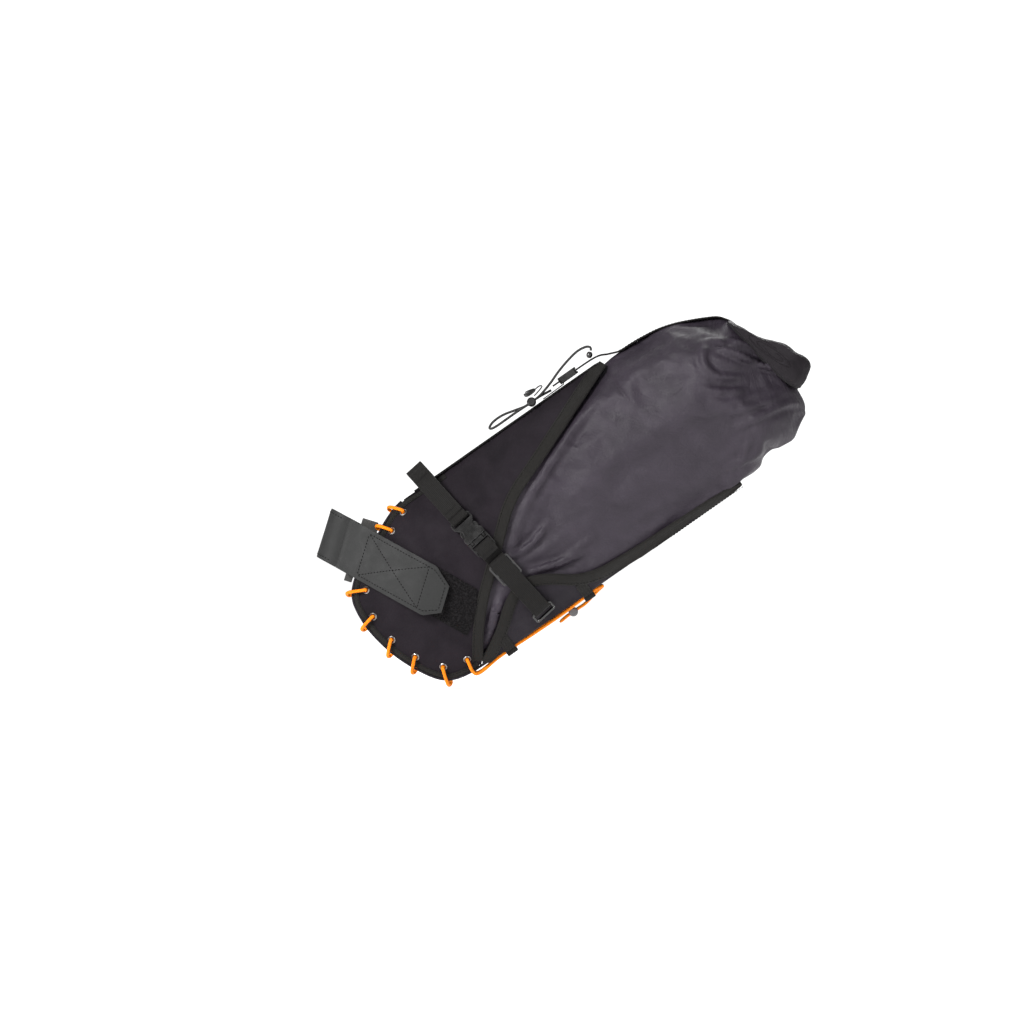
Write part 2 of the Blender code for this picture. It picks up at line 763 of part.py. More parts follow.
def seatpost_strap(look, parent):
    """The wide strap round the post: the wrap with its far tail, and the near tab that peels open."""
    r = POST_R + POST_PLAY + STRAP_T / 2
    wrap = []
    for k in range(13):
        turn = math.radians(90 + 180 * k / 12)
        wrap.append((r * math.cos(turn), r * math.sin(turn)))
    near = [(STRAP_FOLD_U, -r)]
    far = strap_side_line(r, 1)
    path = far[::-1] + wrap + near
    sheet_on_post("seatpost_strap", path, look, parent)
    tab = strap_side_line(r, -1, start=STRAP_FOLD_U + GAP)
    sheet_on_post("seatpost_strap_tab", tab, look, parent, tip=True)


def strap_side_line(r, side, start=0.0):
    """The strap's run from the post along one side of the bag, as (u, y), seen down the post."""
    to_bag = bag_to_post().inverted()
    line = [(start, side * r), (start + 2.0, side * r)]
    slope = STRAP_RISE
    wanted = []
    u = start + 8.0
    while u <= STRAP_TAB_END:
        widest = 0.0
        for share in (-0.5, -0.25, 0.0, 0.25, 0.5):
            drop = share * STRAP_W - math.tan(math.radians(STRAP_RAKE)) * u
            spot = to_bag @ Vector((u, 0, drop))
            if gauge(spot.x, spot.z) < 1.25:
                widest = max(widest, half_width(spot.x, spot.z))
        reach = widest + STRAP_LIFT if widest else r
        if widest and u > STRAP_FREE_U:
            slope = max(slope, (reach - r) / (u - start - 2.0))
        wanted.append((u, reach))
        u += 8.0
    for u, reach in wanted:
        y = min(r + (u - start - 2.0) * slope, reach)
        line.append((u, side * max(y, r)))
    return line




def sheet_on_post(name, path, look, parent, tip=False):
    """A band that follows a path seen down the post and slopes down to the rear."""
    line = [Vector((u, y, 0)) for u, y in path]
    rake = math.tan(math.radians(STRAP_RAKE))
    half = STRAP_W / 2 / math.cos(math.radians(STRAP_RAKE))
    rows = []
    for k, point in enumerate(line):
        ahead = (line[min(k + 1, len(line) - 1)] - line[max(k - 1, 0)]).normalized()
        out = Vector((ahead.y, -ahead.x, 0)) * STRAP_T / 2
        drop = -rake * max(point.x, 0.0)
        reach = half
        if tip and point.x > STRAP_TAB_END - 22:
            reach = half * (1 - 0.55 * (point.x - STRAP_TAB_END + 22) / 22)
        up, down = Vector((0, 0, drop + reach)), Vector((0, 0, drop - reach))
        rows.append((point - out + down, point + out + down, point + out + up, point - out + up))
    points = [p for row in rows for p in row]
    faces = [(0, 1, 2, 3), tuple(4 * (len(rows) - 1) + k for k in (3, 2, 1, 0))]
    for r in range(len(rows) - 1):
        for k in range(4):
            nxt = (k + 1) % 4
            faces.append((4 * r + k, 4 * r + nxt, 4 * r + 4 + nxt, 4 * r + 4 + k))
    return new_object(name, points, faces, look, parent)


# --- webbing and buckles ---
STRAP_RUN = Vector((STRAP_FOOT[0] - RAIL_A, 0, STRAP_FOOT[1] - RAIL_B)).normalized()
STRAP_ACROSS = Vector((-STRAP_RUN.z, 0, STRAP_RUN.x))


def on_strap(run, lift, side):
    """A point over the side skin, some way down the rail strap from the saddle rail."""
    a = RAIL_A + STRAP_RUN.x * run
    b = RAIL_B + STRAP_RUN.z * run
    if run < RAIL_FREE:
        start = Vector((RAIL_A, side * RAIL_Y, RAIL_B))
        end = on_strap(RAIL_FREE, 0.0, side)
        out = Vector((0, side, 0.6)).normalized()
        return start.lerp(end, run / RAIL_FREE) + out * lift
    return skin(a, b, side, lift)


def hardware_matrix(start, length, lift, side):
    """Places a piece of hardware on the strap: x down the strap, z away from the bag."""
    head = on_strap(start, lift, side)
    foot = on_strap(start + length, lift, side)
    middle = on_strap(start + length / 2, lift, side)
    along = (foot - head).normalized()
    out = along.cross(STRAP_ACROSS)
    out = out if out.y * side > 0 else -out
    sag = max(0.0, (middle - (head + foot) / 2).dot(out))
    return frame_matrix(head + out * sag, along, out)


def in_frame(matrix, x, z):
    """A point of a piece of hardware's middle plane, in the bag's frame and in millimetres."""
    return matrix @ (Vector((x, 0, z)) * MM) / MM


def around(matrix, x, z, radius, start, sweep, steps=6):
    """Points round a bar of a piece of hardware, from one angle through a sweep."""
    points = []
    for k in range(steps + 1):
        turn = math.radians(start + sweep * k / steps)
        points.append(in_frame(matrix, x + radius * math.cos(turn), z + radius * math.sin(turn)))
    return points


def buckle_female(name, look, parent, matrix):
    """The buckle's socket: a waisted housing, open at its mouth and sides, with a webbing bar."""
    half = BUCKLE_W / 2
    upper = [(0, half - 2), (2, half), (8, half)]
    for k in range(1, 8):
        x = 8 + 15 * k / 8
        upper.append((x, half - WAIST * math.sin(math.pi * k / 8) ** 1.3))
    upper += [(23, half), (BUCKLE_L, half - 0.6)]
    outline = upper + [(x, -y) for x, y in reversed(upper)]
    deep = BUCKLE_T / 2
    slot = box_outline(BAR, BAR + SLOT_L, -SLOT_W / 2, SLOT_W / 2)
    cavity = box_outline(CAVITY_X, BUCKLE_L + 1, -CAVITY_W / 2, CAVITY_W / 2)
    thin = box_outline(-1, BAR + SLOT_L - 0.6, -half - 1, half + 1)
    cutters = ((slot, -deep - 1, deep + 1), (cavity, -CAVITY_T / 2, CAVITY_T / 2),
               (thin, BAR_T / 2, deep + 1), (thin, -deep - 1, -BAR_T / 2))
    extruded(name, outline[::-1], -deep, deep, look, parent, matrix, 0.5, cutters)


def buckle_male(name, look, parent, matrix):
    """The buckle's plug: a two-slot webbing frame with a guide tongue."""
    x0 = BUCKLE_L + 0.6
    half = BUCKLE_W / 2 - 0.5
    tongue = 2.2
    upper = [(TONGUE_X, tongue - 0.8), (TONGUE_X + 1.2, tongue), (x0, tongue), (x0, half), (x0 + 15, half)]
    upper += [(x0 + MALE_L, half - 2)]
    outline = upper + [(x, -y) for x, y in reversed(upper)]
    deep = MALE_T / 2
    thin = box_outline(TONGUE_X - 1, x0, -tongue - 1, tongue + 1)
    cutters = [(thin, CAVITY_T / 2 - 0.6, deep + 1), (thin, -deep - 1, 0.6 - CAVITY_T / 2)]
    for start in (x0 + 5.0, x0 + 5.0 + SLOT_L + BAR):
        slot = box_outline(start, start + SLOT_L, -SLOT_W / 2, SLOT_W / 2)
        cutters.append((slot, -deep - 1, deep + 1))
    for side in (-1, 1):
        low, high = sorted((side * (ARM_Y - ROOT_R - GAP), side * (ARM_Y + ROOT_R + GAP)))
        pocket = box_outline(x0 - 1, ROOT_X + ROOT_R + GAP, low, high)
        cutters.append((pocket, -deep - 1, deep + 1))
    extruded(name, outline[::-1], -deep, deep, look, parent, matrix, 0.4, cutters)


def buckle_arm(name, look, parent, matrix, side):
    """One squeeze arm: a round root in the plug's pocket, a spring leg and a barbed grip."""
    points = []
    for k in range(7):
        turn = math.radians(-90 + 180 * k / 6)
        points.append((ROOT_X + ROOT_R * math.cos(turn), ARM_Y + ROOT_R * math.sin(turn)))
    points += [(CATCH_X, ARM_Y + 1.5), (CATCH_X, CATCH_Y), (CATCH_X - 2, CATCH_Y + 0.4)]
    points += [(15.5, CATCH_Y), (13, ARM_Y + 1.6), (12.2, ARM_Y), (12.6, ARM_Y - 1.5)]
    pivot = matrix @ Matrix.Translation(Vector((ROOT_X, side * ARM_Y, 0)) * MM)
    outline = [(x - ROOT_X, side * (y - ARM_Y)) for x, y in points]
    if side < 0:
        outline.reverse()
    extruded(name, outline, -1.8, 1.8, look, parent, pivot, 0.3)


def tri_glide(name, look, parent, matrix):
    """A three-bar slide that holds the strap's folded end."""
    half, deep = GLIDE_W / 2, GLIDE_T / 2
    upper = [(0, half - 2), (2, half), (GLIDE_L - 2, half), (GLIDE_L, half - 2)]
    outline = upper + [(x, -y) for x, y in reversed(upper)]
    window = (GLIDE_L - 2 * BAR - GLIDE_BAR) / 2
    cutters = []
    for start in (BAR, GLIDE_L - BAR - window):
        cutters.append((box_outline(start, start + window, -SLOT_W / 2, SLOT_W / 2), -deep - 1, deep + 1))
    extruded(name, outline[::-1], -deep, deep, look, parent, matrix, 0.4, cutters)


def square_ring(name, look, parent, matrix):
    """The rectangular ring at the strap's foot."""
    half, deep = GLIDE_W / 2, RING_BAR / 2
    upper = [(0, half - 2), (2, half), (RING_L - 2, half), (RING_L, half - 2)]
    outline = upper + [(x, -y) for x, y in reversed(upper)]
    slot = box_outline(RING_BAR, RING_L - RING_BAR, -SLOT_W / 2, SLOT_W / 2)
    extruded(name, outline[::-1], -deep, deep, look, parent, matrix, 0.5, ((slot, -deep - 1, deep + 1),))




def rail_strap(look, parent, side, word):
    """One rail strap: webbing round the saddle rail, buckle, tri-glide, and webbing to the ring."""
    seat = hardware_matrix(BUCKLE_AT, BUCKLE_L + MALE_L, BUCKLE_LIFT, side)
    buckle_female(f"rail_buckle_female_{word}", look["plastic"], parent, seat)
    buckle_male(f"rail_buckle_male_{word}", look["plastic"], parent, seat)
    for arm_side, arm in ((1, "rear"), (-1, "front")):
        turn = arm_side if side < 0 else -arm_side
        buckle_arm(f"rail_buckle_arm_{arm}_{word}", look["plastic"], parent, seat, turn)
    glide = hardware_matrix(GLIDE_AT, GLIDE_L, GLIDE_LIFT, side)
    tri_glide(f"tri_glide_{word}", look["plastic"], parent, glide)
    ring = hardware_matrix(RING_AT, RING_L, RING_LIFT, side)
    square_ring(f"strap_ring_{word}", look["plastic"], parent, ring)

    clear = GAP + WEB_T / 2 + 0.1
    wrap_r = math.hypot(BAR / 2, BAR_T / 2) + clear
    rail = Vector((RAIL_A, side * RAIL_Y, RAIL_B))
    down = (on_strap(RAIL_FREE, 3.0, side) - rail).normalized()
    out = Vector((0, side, 0))
    out = (out - down * out.dot(down)).normalized()
    path = [in_frame(seat, -13, -1.3), in_frame(seat, -4, -wrap_r + 0.6)]
    path += around(seat, BAR / 2, 0, wrap_r, -90, 180)
    path += [in_frame(seat, -4, wrap_r - 0.6), in_frame(seat, -13, 1.3)]
    for k in range(9):
        turn = math.radians(60 - 270 * k / 8)
        path.append(rail + down * LOOP_R * -math.sin(turn) + out * LOOP_R * math.cos(turn))
    path.append(rail + down * 20 - out * 1.2)
    ribbon(f"rail_webbing_{word}", path, STRAP_ACROSS * side, WEB_W, WEB_T, look["webbing"], parent)

    bar_x = BUCKLE_L + 0.6 + 5.0 + SLOT_L + BAR / 2
    level = math.hypot(BAR / 2, MALE_T / 2) + clear
    foot = [in_frame(seat, bar_x + 12, level), in_frame(seat, bar_x + 4, level)]
    foot += around(seat, bar_x, 0, level, 90, 180)
    foot += [in_frame(seat, bar_x + 9, -level)]
    low = -GLIDE_T / 2 - WEB_T - 2 * clear
    foot += [in_frame(glide, 0, low), in_frame(glide, GLIDE_L, low)]
    ring_r = math.hypot(RING_BAR / 2, RING_BAR / 2) + clear
    between = GLIDE_AT + GLIDE_L + 16
    foot += [on_strap(between, 3.0, side)]
    foot += [in_frame(ring, -5, -2.4)] + around(ring, RING_BAR / 2, 0, ring_r, -90, 180)
    high = GLIDE_T / 2 + clear
    end_r = math.hypot(BAR / 2, GLIDE_T / 2) + clear
    foot += [in_frame(ring, -5, 2.4), on_strap(between, 6.4, side), in_frame(glide, GLIDE_L, high + 0.4)]
    foot += around(glide, BAR / 2, 0, end_r, 90, 130, 5)
    ribbon(f"foot_webbing_{word}", foot, STRAP_ACROSS * side, WEB_W, WEB_T, look["webbing"], parent)


# --- ridge and lacing hardware ---
def loop_patch(look, parent):
    """The loop-tape band on the near panel that the seatpost strap's tab sticks to."""
    corners = at_depth([(54, -49), (12, -70), (53, -157), (66, -150), (80, -137), (90, -124), (54, -49)])
    outline = [(p.x, p.y) for p in resample([Vector((*p, 0)) for p in corners], 9)][:-1]
    place = lambda a, b, lift: skin(a, b, -1, lift + PATCH_LIFT + LOOP_T)
    patch_solid("loop_patch", outline, [], place, LOOP_T, look, parent)


def ridge_webbing(look, parent):
    """The webbing sewn along the ridge, over the two panels' top edges."""
    path = [(a, 0, RIDGE_WEB_B) for a in (94, 160, 240, MOUTH_A - 6)]
    ribbon("ridge_webbing", path, (0, 1, 0), WEB_W, WEB_T, look, parent)


def ladder_lock(look, parent):
    """The ridge's ladder lock: toothed cross bars over the crest strap's free end."""
    half = SLOT_W / 2 + 2.2
    outline = [(0, half - 2), (2, half), (LADDER_L - 3, half), (LADDER_L, half - 3)]
    outline += [(x, -y) for x, y in reversed(outline)]
    window = (LADDER_L - 4 * BAR) / 3
    channel = box_outline(-1, LADDER_L + 1, -SLOT_W / 2, SLOT_W / 2)
    half_gap = WEB_T / 2 + 2 * GAP
    cutters = [(channel, -half_gap, half_gap)]
    for n in range(3):
        start = BAR + n * (window + BAR)
        cutters.append((box_outline(start, start + window, -SLOT_W / 2, SLOT_W / 2), 0, 9))
    low = box_outline(BAR, LADDER_L - BAR, -SLOT_W / 2, SLOT_W / 2)
    cutters.append((low, -9, 0))
    seat = Matrix.Translation(Vector((LADDER_AT, 0, CREST_B)) * MM)
    extruded("ladder_lock", outline[::-1], -LADDER_T / 2, LADDER_T / 2, look, parent, seat, 0.4, cutters)


def ladder_anchor(look, parent):
    """The short webbing loop that ties the ladder lock's front bar to the ridge."""
    seat = Matrix.Translation(Vector((LADDER_AT, 0, CREST_B)) * MM)
    bar_z = -LADDER_T / 2 + (LADDER_T / 2 - WEB_T / 2 - 2 * GAP) / 2
    radius = 1.9 + GAP
    path = [Vector((LADDER_AT - 24, 0, RIDGE_WEB_B + WEB_T + GAP))]
    path += around(seat, BAR / 2, bar_z, radius, -100, 30, 2)
    path += around(seat, BAR / 2, bar_z, radius, -60, 60, 3)
    ribbon("ladder_anchor", path, (0, 1, 0), SLOT_W - 2, 0.9, look, parent)


def cord_lock(name, look, spring_look, parent, matrix, cord_r):
    """A sprung cord lock for two cords side by side: barrel, plunger and spring."""
    span = 4 * cord_r + 3 * GAP
    low = LOCK_FLOOR + LOCK_SPRING + 2.4
    top = low + span + 3.4
    tall = cord_r + 0.5
    barrel = [(0, 0), (LOCK_R - 0.8, 0), (LOCK_R, 0.8), (LOCK_R, top - 0.6), (LOCK_R - 0.6, top)]
    barrel += [(LOCK_BORE, top), (LOCK_BORE, LOCK_FLOOR), (0, LOCK_FLOOR)]
    shell = lathe(f"{name}_barrel", barrel, look, parent, matrix)
    cut(shell, f"{name}_barrel_hole", box_outline(-9, 9, -tall, tall), low, low + span + 2 * GAP)
    head = top + LOCK_TRAVEL + 0.5
    stem_r = LOCK_BORE - GAP
    stem = [(0, LOCK_FLOOR + LOCK_SPRING + 0.6), (stem_r, LOCK_FLOOR + LOCK_SPRING + 0.6), (stem_r, head)]
    stem += [(LOCK_R - 0.5, head), (LOCK_R - 0.5, head + 1.8), (LOCK_R - 1.6, head + 2.6), (0, head + 2.6)]
    plunger = lathe(f"{name}_plunger", stem, look, parent, matrix)
    hole = box_outline(-9, 9, -tall, tall)
    cut(plunger, f"{name}_plunger_hole", hole, low, low + span + LOCK_TRAVEL + 2 * GAP)
    coil = []
    for k in range(25):
        turn = 2 * math.pi * k / 8
        z = LOCK_FLOOR + 0.7 + (LOCK_SPRING - 0.9) * k / 24
        coil.append(matrix @ (Vector((2.4 * math.cos(turn), 2.4 * math.sin(turn), z)) * MM) / MM)
    cord(f"{name}_spring", coil, 0.3, spring_look, parent, resolution=0)
    return [low + GAP + cord_r, low + 2 * GAP + 3 * cord_r]


def lock_frame(place):
    """A cord lock's place: its plunger points to the near side, and the cords pass along the bag."""
    return frame_matrix(place, (1, 0, 0), (0, -1, 0))


def ridge_bungee(look, parent, slots, seat):
    """The ridge's free bungee: from its anchor through the lock, round a loop, back and up to its end."""
    lanes = [(seat @ (Vector((0, 0, z)) * MM) / MM).y for z in slots]
    b = LOCK_B
    route = [
        (272, lanes[0] + 2.5, RIDGE_WEB_B + 4.8), (263, lanes[0] + 0.6, b - 0.6), (255, lanes[0], b),
        (241, lanes[0], b), (228, lanes[0] + 1.6, b + 0.3), (214, lanes[0] + 4.0, b + 0.2),
        (204, lanes[0] + 4.4, b + 0.2), (197.5, (lanes[0] + lanes[1]) / 2 + 2.5, b + 0.4),
        (197.5, (lanes[0] + lanes[1]) / 2 - 2.5, b + 0.6), (204, lanes[1] - 4.4, b + 0.8),
        (214, lanes[1] - 4.0, b + 0.8), (228, lanes[1] - 1.6, b + 0.6),
        (241, lanes[1], b), (255, lanes[1], b),
        (264, lanes[1] - 0.5, b + 1.6), (276, -12, b + 5), (290, -11, b + 10), (305, -9, b + 14),
        (318, -7.5, b + 16), (328, -6.5, b + 14.5), (331.5, -6.3, b + 11), (329.5, -6.4, b + 8.6),
    ]
    made = cord("ridge_bungee", smooth_route(route, 5.0), CORD_R, look, parent)
    return made


def bungee_end(look, parent):
    """The moulded bead on the ridge bungee's free end."""
    profile = [(0, -3.4), (2.0, -3.2), (3.1, -1.6), (3.3, 0.6), (2.5, 2.6), (1.6, 3.3), (0, 3.3)]
    seat = frame_matrix((326.0, -6.8, LOCK_B + 5.6), (0, 1, 0), (0.76, 0.1, 0.65))
    lathe("bungee_end", profile, look, parent, seat, sides=12)


def pull_tab(look, parent):
    """The thumb tab on the lock's cord."""
    upper = [(-6, 2.4), (-2, 3.2), (5, 2.2), (7, 1.2)]
    outline = [(-7, 0)] + upper + [(x, -y) for x, y in reversed(upper)]
    seat = frame_matrix((252.0, -7.5, LOCK_B + LOCK_R + 4.2), (1, 0, -0.1), (0, -1, 0))
    extruded("pull_tab", outline[::-1], -1.0, 1.0, look, parent, seat, 0.3)


def crest_strap(look, parent):
    """The dry bag's own strap: along its crest, and forward through the ladder lock."""
    path = [(LADDER_AT - 8, 0, CREST_B), (MOUTH_A + 14, 0, CREST_B)]
    for a in (362, 380, 400, 418, 434, 448, 458):
        path.append((a, 0, min(dry_bag_span(a)[0], CREST_B - 1.6) + WEB_T / 2 + 0.8))
    ribbon("crest_strap", path, (0, 1, 0), WEB_W, WEB_T, look, parent)


def lace_tabs(look, parent):
    """Short webbing loops under the floor that guide the lacing's ends."""
    for side, word in ((-1, "left"), (1, "right")):
        for n, a in enumerate((82, 181), 1):
            low = BOTTOM_B - PANEL_T - GAP - 0.5
            y = side * (half_width(a, BOTTOM_B) - 7)
            drop = 2 * LACE_R + 1.6
            path = [(a, y + side * 7, low), (a, y + side * 3.2, low - 0.4), (a, y + side * 2.6, low - drop)]
            path += [(a, y - side * 2.6, low - drop), (a, y - side * 3.2, low - 0.4), (a, y - side * 7, low)]
            ribbon(f"lace_tab_{word}_{n}", path, (1, 0, 0), 12.0, 0.9, look, parent)




def main():
    """Builds the whole saddle bag."""
    clear_scene()
    look = looks()
    turn = Matrix.Rotation(math.radians(-BAG_TILT), 4, "Y")
    bag = empty("bag_axis", matrix=turn)
    side_panels(look["panel"], bag)
    line, marks, place = base_panel(look["base"], bag)
    eyelets(look["steel"], bag)
    lace_seat = lock_frame((158.0, LACE_LOCK_Y, LACE_LOCK_B))
    slots = cord_lock("lace_lock", look["lock"], look["spring"], bag, lace_seat, LACE_R)
    lanes = [LACE_LOCK_Y - slot for slot in slots]
    lacing(look["lace"], bag, line, marks, place, lanes)
    dry_bag(look["dry"], bag)
    roll_top(look["dry"], bag)
    post = empty("post_axis", matrix=Matrix.Rotation(math.radians(POST_TILT), 4, "Y"))
    post_pad(look["foam"], post, line)
    seatpost_strap(look["strap"], post)
    for side, word in ((-1, "left"), (1, "right")):
        rail_strap(look, bag, side, word)
    loop_patch(look["loop"], bag)
    ridge_webbing(look["webbing"], bag)
    ladder_lock(look["plastic"], bag)
    ladder_anchor(look["webbing"], bag)
    seat = lock_frame((248.0, 8.0, LOCK_B))
    slots = cord_lock("ridge_lock", look["plastic"], look["spring"], bag, seat, CORD_R)
    ridge_bungee(look["cord"], bag, slots, seat)
    bungee_end(look["plastic"], bag)
    pull_tab(look["webbing"], bag)
    crest_strap(look["trim"], bag)
    lace_tabs(look["webbing"], bag)


main()
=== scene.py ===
import math

import bpy
import numpy as np
from mathutils import Matrix, Vector, noise
from mathutils.geometry import delaunay_2d_cdt


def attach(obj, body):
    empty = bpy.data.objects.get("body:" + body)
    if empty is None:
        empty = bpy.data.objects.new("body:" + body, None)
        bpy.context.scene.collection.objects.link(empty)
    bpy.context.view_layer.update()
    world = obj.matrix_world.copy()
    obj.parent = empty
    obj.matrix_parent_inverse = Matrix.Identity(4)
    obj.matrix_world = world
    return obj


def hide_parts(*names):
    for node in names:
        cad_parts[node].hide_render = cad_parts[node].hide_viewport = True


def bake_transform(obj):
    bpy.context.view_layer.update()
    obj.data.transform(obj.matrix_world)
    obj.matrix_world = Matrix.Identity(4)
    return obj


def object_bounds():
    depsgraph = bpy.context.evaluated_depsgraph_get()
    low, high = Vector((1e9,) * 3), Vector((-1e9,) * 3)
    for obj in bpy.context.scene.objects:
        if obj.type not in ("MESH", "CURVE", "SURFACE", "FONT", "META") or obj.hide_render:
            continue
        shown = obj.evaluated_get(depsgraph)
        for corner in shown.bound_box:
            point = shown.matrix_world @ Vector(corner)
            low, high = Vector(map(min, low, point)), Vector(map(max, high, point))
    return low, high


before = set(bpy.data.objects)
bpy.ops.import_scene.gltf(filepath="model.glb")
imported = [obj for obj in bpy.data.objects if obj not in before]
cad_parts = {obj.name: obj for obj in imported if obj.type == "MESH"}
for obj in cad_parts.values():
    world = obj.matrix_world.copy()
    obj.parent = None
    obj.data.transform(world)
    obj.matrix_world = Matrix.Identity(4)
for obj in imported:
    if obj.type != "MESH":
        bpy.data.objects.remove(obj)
cad_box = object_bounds()

# --- the CAD's dimensions, in millimetres, in the bag's own frame (a along, y across, b up) ---
MM = 0.001
BAG = Matrix.Rotation(math.radians(-35.0), 4, "Y")
POST = Matrix.Rotation(math.radians(17.0), 4, "Y")
RIDGE_B, BOTTOM_B = -4.0, -192.0
CENTRE_A, CENTRE_B, HALF_HEIGHT = 130.0, -98.0, 94.0
MOUTH_A, TAIL_A = 333.0, 378.0
NOSE_CORNERS = (
    (130, -4), (95, -4), (66, -4), (20, -28), (-21, -48), (-29, -85), (-22, -128),
    (-7, -163), (8, -184), (30, -191), (67, -192), (95, -192), (130, -192),
)
HALF_WIDTH, WIDTH_SLOPE, BULGE_POWER = 45.0, 0.1, 3.5
FLOOR_SHARE, RIDGE_SHARE = 0.5, 0.07
PANEL_T, EDGE_INSET, SPINE_LIP = 1.8, 1.4, 1.2
MOUTH_EDGE = (
    (333, -8), (300, -21), (255, -39), (210, -57), (172, -71), (138, -100), (110, -124),
    (90, -140), (70, -162), (58, -178), (51, -188),
)
WING_EDGE = (
    (46, 3), (66, 13), (86, 25), (106, 42), (130, 53), (156, 43), (190, 15), (240, 10), (330, 7), (378, 3.5),
)
EYELETS = (
    (72, -14), (51, -23), (-6, -58), (-16, -85), (-14, -116), (-4, -145), (14, -170), (39, -178),
)
BINDING_T = 0.95
FLANGE_R, BARREL_R, BORE_R, FLANGE_T, GAP = 4.3, 3.0, 2.5, 0.7, 0.35
LACE_R, LACE_HOLE_R, LACE_HOLE_INSET, LACE_SHIFT = 1.75, 3.4, 5.5, 7.0
BAG_GAUGE, BAG_SIDE_GAP = 0.915, 4.5
BAG_TOP = (
    (333, -7), (355, -6.5), (379, -8), (403, -11.5), (423, -18), (446, -29), (460, -37), (466, -44),
    (471, -59), (479, -90), (486, -122),
)
BAG_BOTTOM = (
    (333, -191.4), (378, -191.4), (402, -190), (421, -186.5), (449, -186), (459, -179), (470, -172),
    (477, -168), (482.5, -161), (486, -145), (486.5, -124),
)
POST_R, POST_PLAY, STRAP_T, STRAP_W = 15.4, 1.2, 1.8, 52.0
STRAP_RAKE, STRAP_TAB_END, STRAP_FOLD_U, STRAP_LIFT = 11.6, 128.0, 4.0, 4.2
WEB_W, WEB_T, RAIL_Y, RAIL_A, RAIL_B = 20.0, 1.6, 22.0, 109.0, 6.0
STRAP_FOOT = (134.0, -184.0)
LOOP_T, PATCH_LIFT = 1.2, 1.1
BUCKLE_L, MALE_L, MALE_T = 28.0, 18.6, 4.0
BAR, SLOT_L, BAR_T = 2.6, 4.2, 3.0
GLIDE_L, GLIDE_T, RING_L, RING_BAR = 26.0, 2.6, 13.0, 3.0
RAIL_FREE, LOOP_R = 46.0, 8.2
BUCKLE_AT, BUCKLE_LIFT, GLIDE_AT, GLIDE_LIFT = 60.0, 6.0, 118.0, 6.4
RING_AT, RING_LIFT = 181.0, 6.2
RIDGE_WEB_B, CREST_B, LADDER_AT, LADDER_T = -2.6, 4.6, 284.0, 7.2
LOCK_B, LACE_LOCK_B, LACE_LOCK_Y, CORD_R = 3.8, -201.2, 10.0, 1.3
SIDES = ((-1, "left"), (1, "right"))


# --- small helpers ---
def chaikin(points, rounds=2):
    """Rounds a polyline's corners by cutting them."""
    line = [Vector(p) for p in points]
    for _ in range(rounds):
        cut = []
        for start, end in zip(line, line[1:]):
            cut += [start.lerp(end, 0.25), start.lerp(end, 0.75)]
        line = [line[0]] + cut + [line[-1]]
    return line


def resample(points, step):
    """A polyline with points an even step apart."""
    line = [Vector(p) for p in points]
    marks = lengths(line)
    count = max(2, round(marks[-1] / step) + 1)
    made, at = [], 0
    for k in range(count):
        want = marks[-1] * k / (count - 1)
        while at < len(marks) - 2 and marks[at + 1] < want:
            at += 1
        span = max(marks[at + 1] - marks[at], 1e-9)
        made.append(line[at].lerp(line[at + 1], (want - marks[at]) / span))
    return made


def direction(line, k):
    """The way a polyline runs at one of its points."""
    return (line[min(k + 1, len(line) - 1)] - line[max(k - 1, 0)]).normalized()


def lengths(line):
    """The distance along a polyline at each of its points."""
    marks = [0.0]
    for start, end in zip(line, line[1:]):
        marks.append(marks[-1] + (end - start).length)
    return marks


def smooth_route(points, step):
    """A smooth curve through a few points, read at an even step."""
    line = [Vector(p) for p in points]
    line = [line[0] * 2 - line[1]] + line + [line[-1] * 2 - line[-2]]
    fine = []
    for p0, p1, p2, p3 in zip(line, line[1:], line[2:], line[3:]):
        for k in range(12):
            t = k / 12
            fine.append(0.5 * (2 * p1 + (p2 - p0) * t + (2 * p0 - 5 * p1 + 4 * p2 - p3) * t**2
                               + (3 * p1 - p0 - 3 * p2 + p3) * t**3))
    fine.append(line[-2])
    return resample(fine, step)


def table(rows, at):
    """A value read from (place, value) rows, straight between them."""
    if at <= rows[0][0]:
        return rows[0][1]
    for (x0, y0), (x1, y1) in zip(rows, rows[1:]):
        if at <= x1:
            return y0 + (y1 - y0) * (at - x0) / (x1 - x0)
    return rows[-1][1]


def ease(t):
    """A smooth step from 0 to 1."""
    t = min(max(t, 0.0), 1.0)
    return t * t * (3 - 2 * t)


def inside(point, loop):
    """Whether a 2D point is inside a closed loop."""
    found = False
    for (x0, y0), (x1, y1) in zip(loop, loop[1:] + loop[:1]):
        if (y0 > point[1]) != (y1 > point[1]):
            if point[0] < (x1 - x0) * (point[1] - y0) / (y1 - y0) + x0:
                found = not found
    return found


def frame_matrix(place, along, out):
    """A matrix whose x runs along, whose z points out, and whose origin is the place in millimetres."""
    z = Vector(out).normalized()
    x = (Vector(along) - z * Vector(along).dot(z)).normalized()
    y = z.cross(x)
    turn = Matrix((x, y, z)).transposed().to_4x4()
    return Matrix.Translation(Vector(place) * MM) @ turn


def wave(point, size, seed=0.0):
    """Smooth noise from -1 to 1 at a size in millimetres."""
    return noise.noise(Vector(point) / size + Vector((seed, seed * 0.7, -seed)))


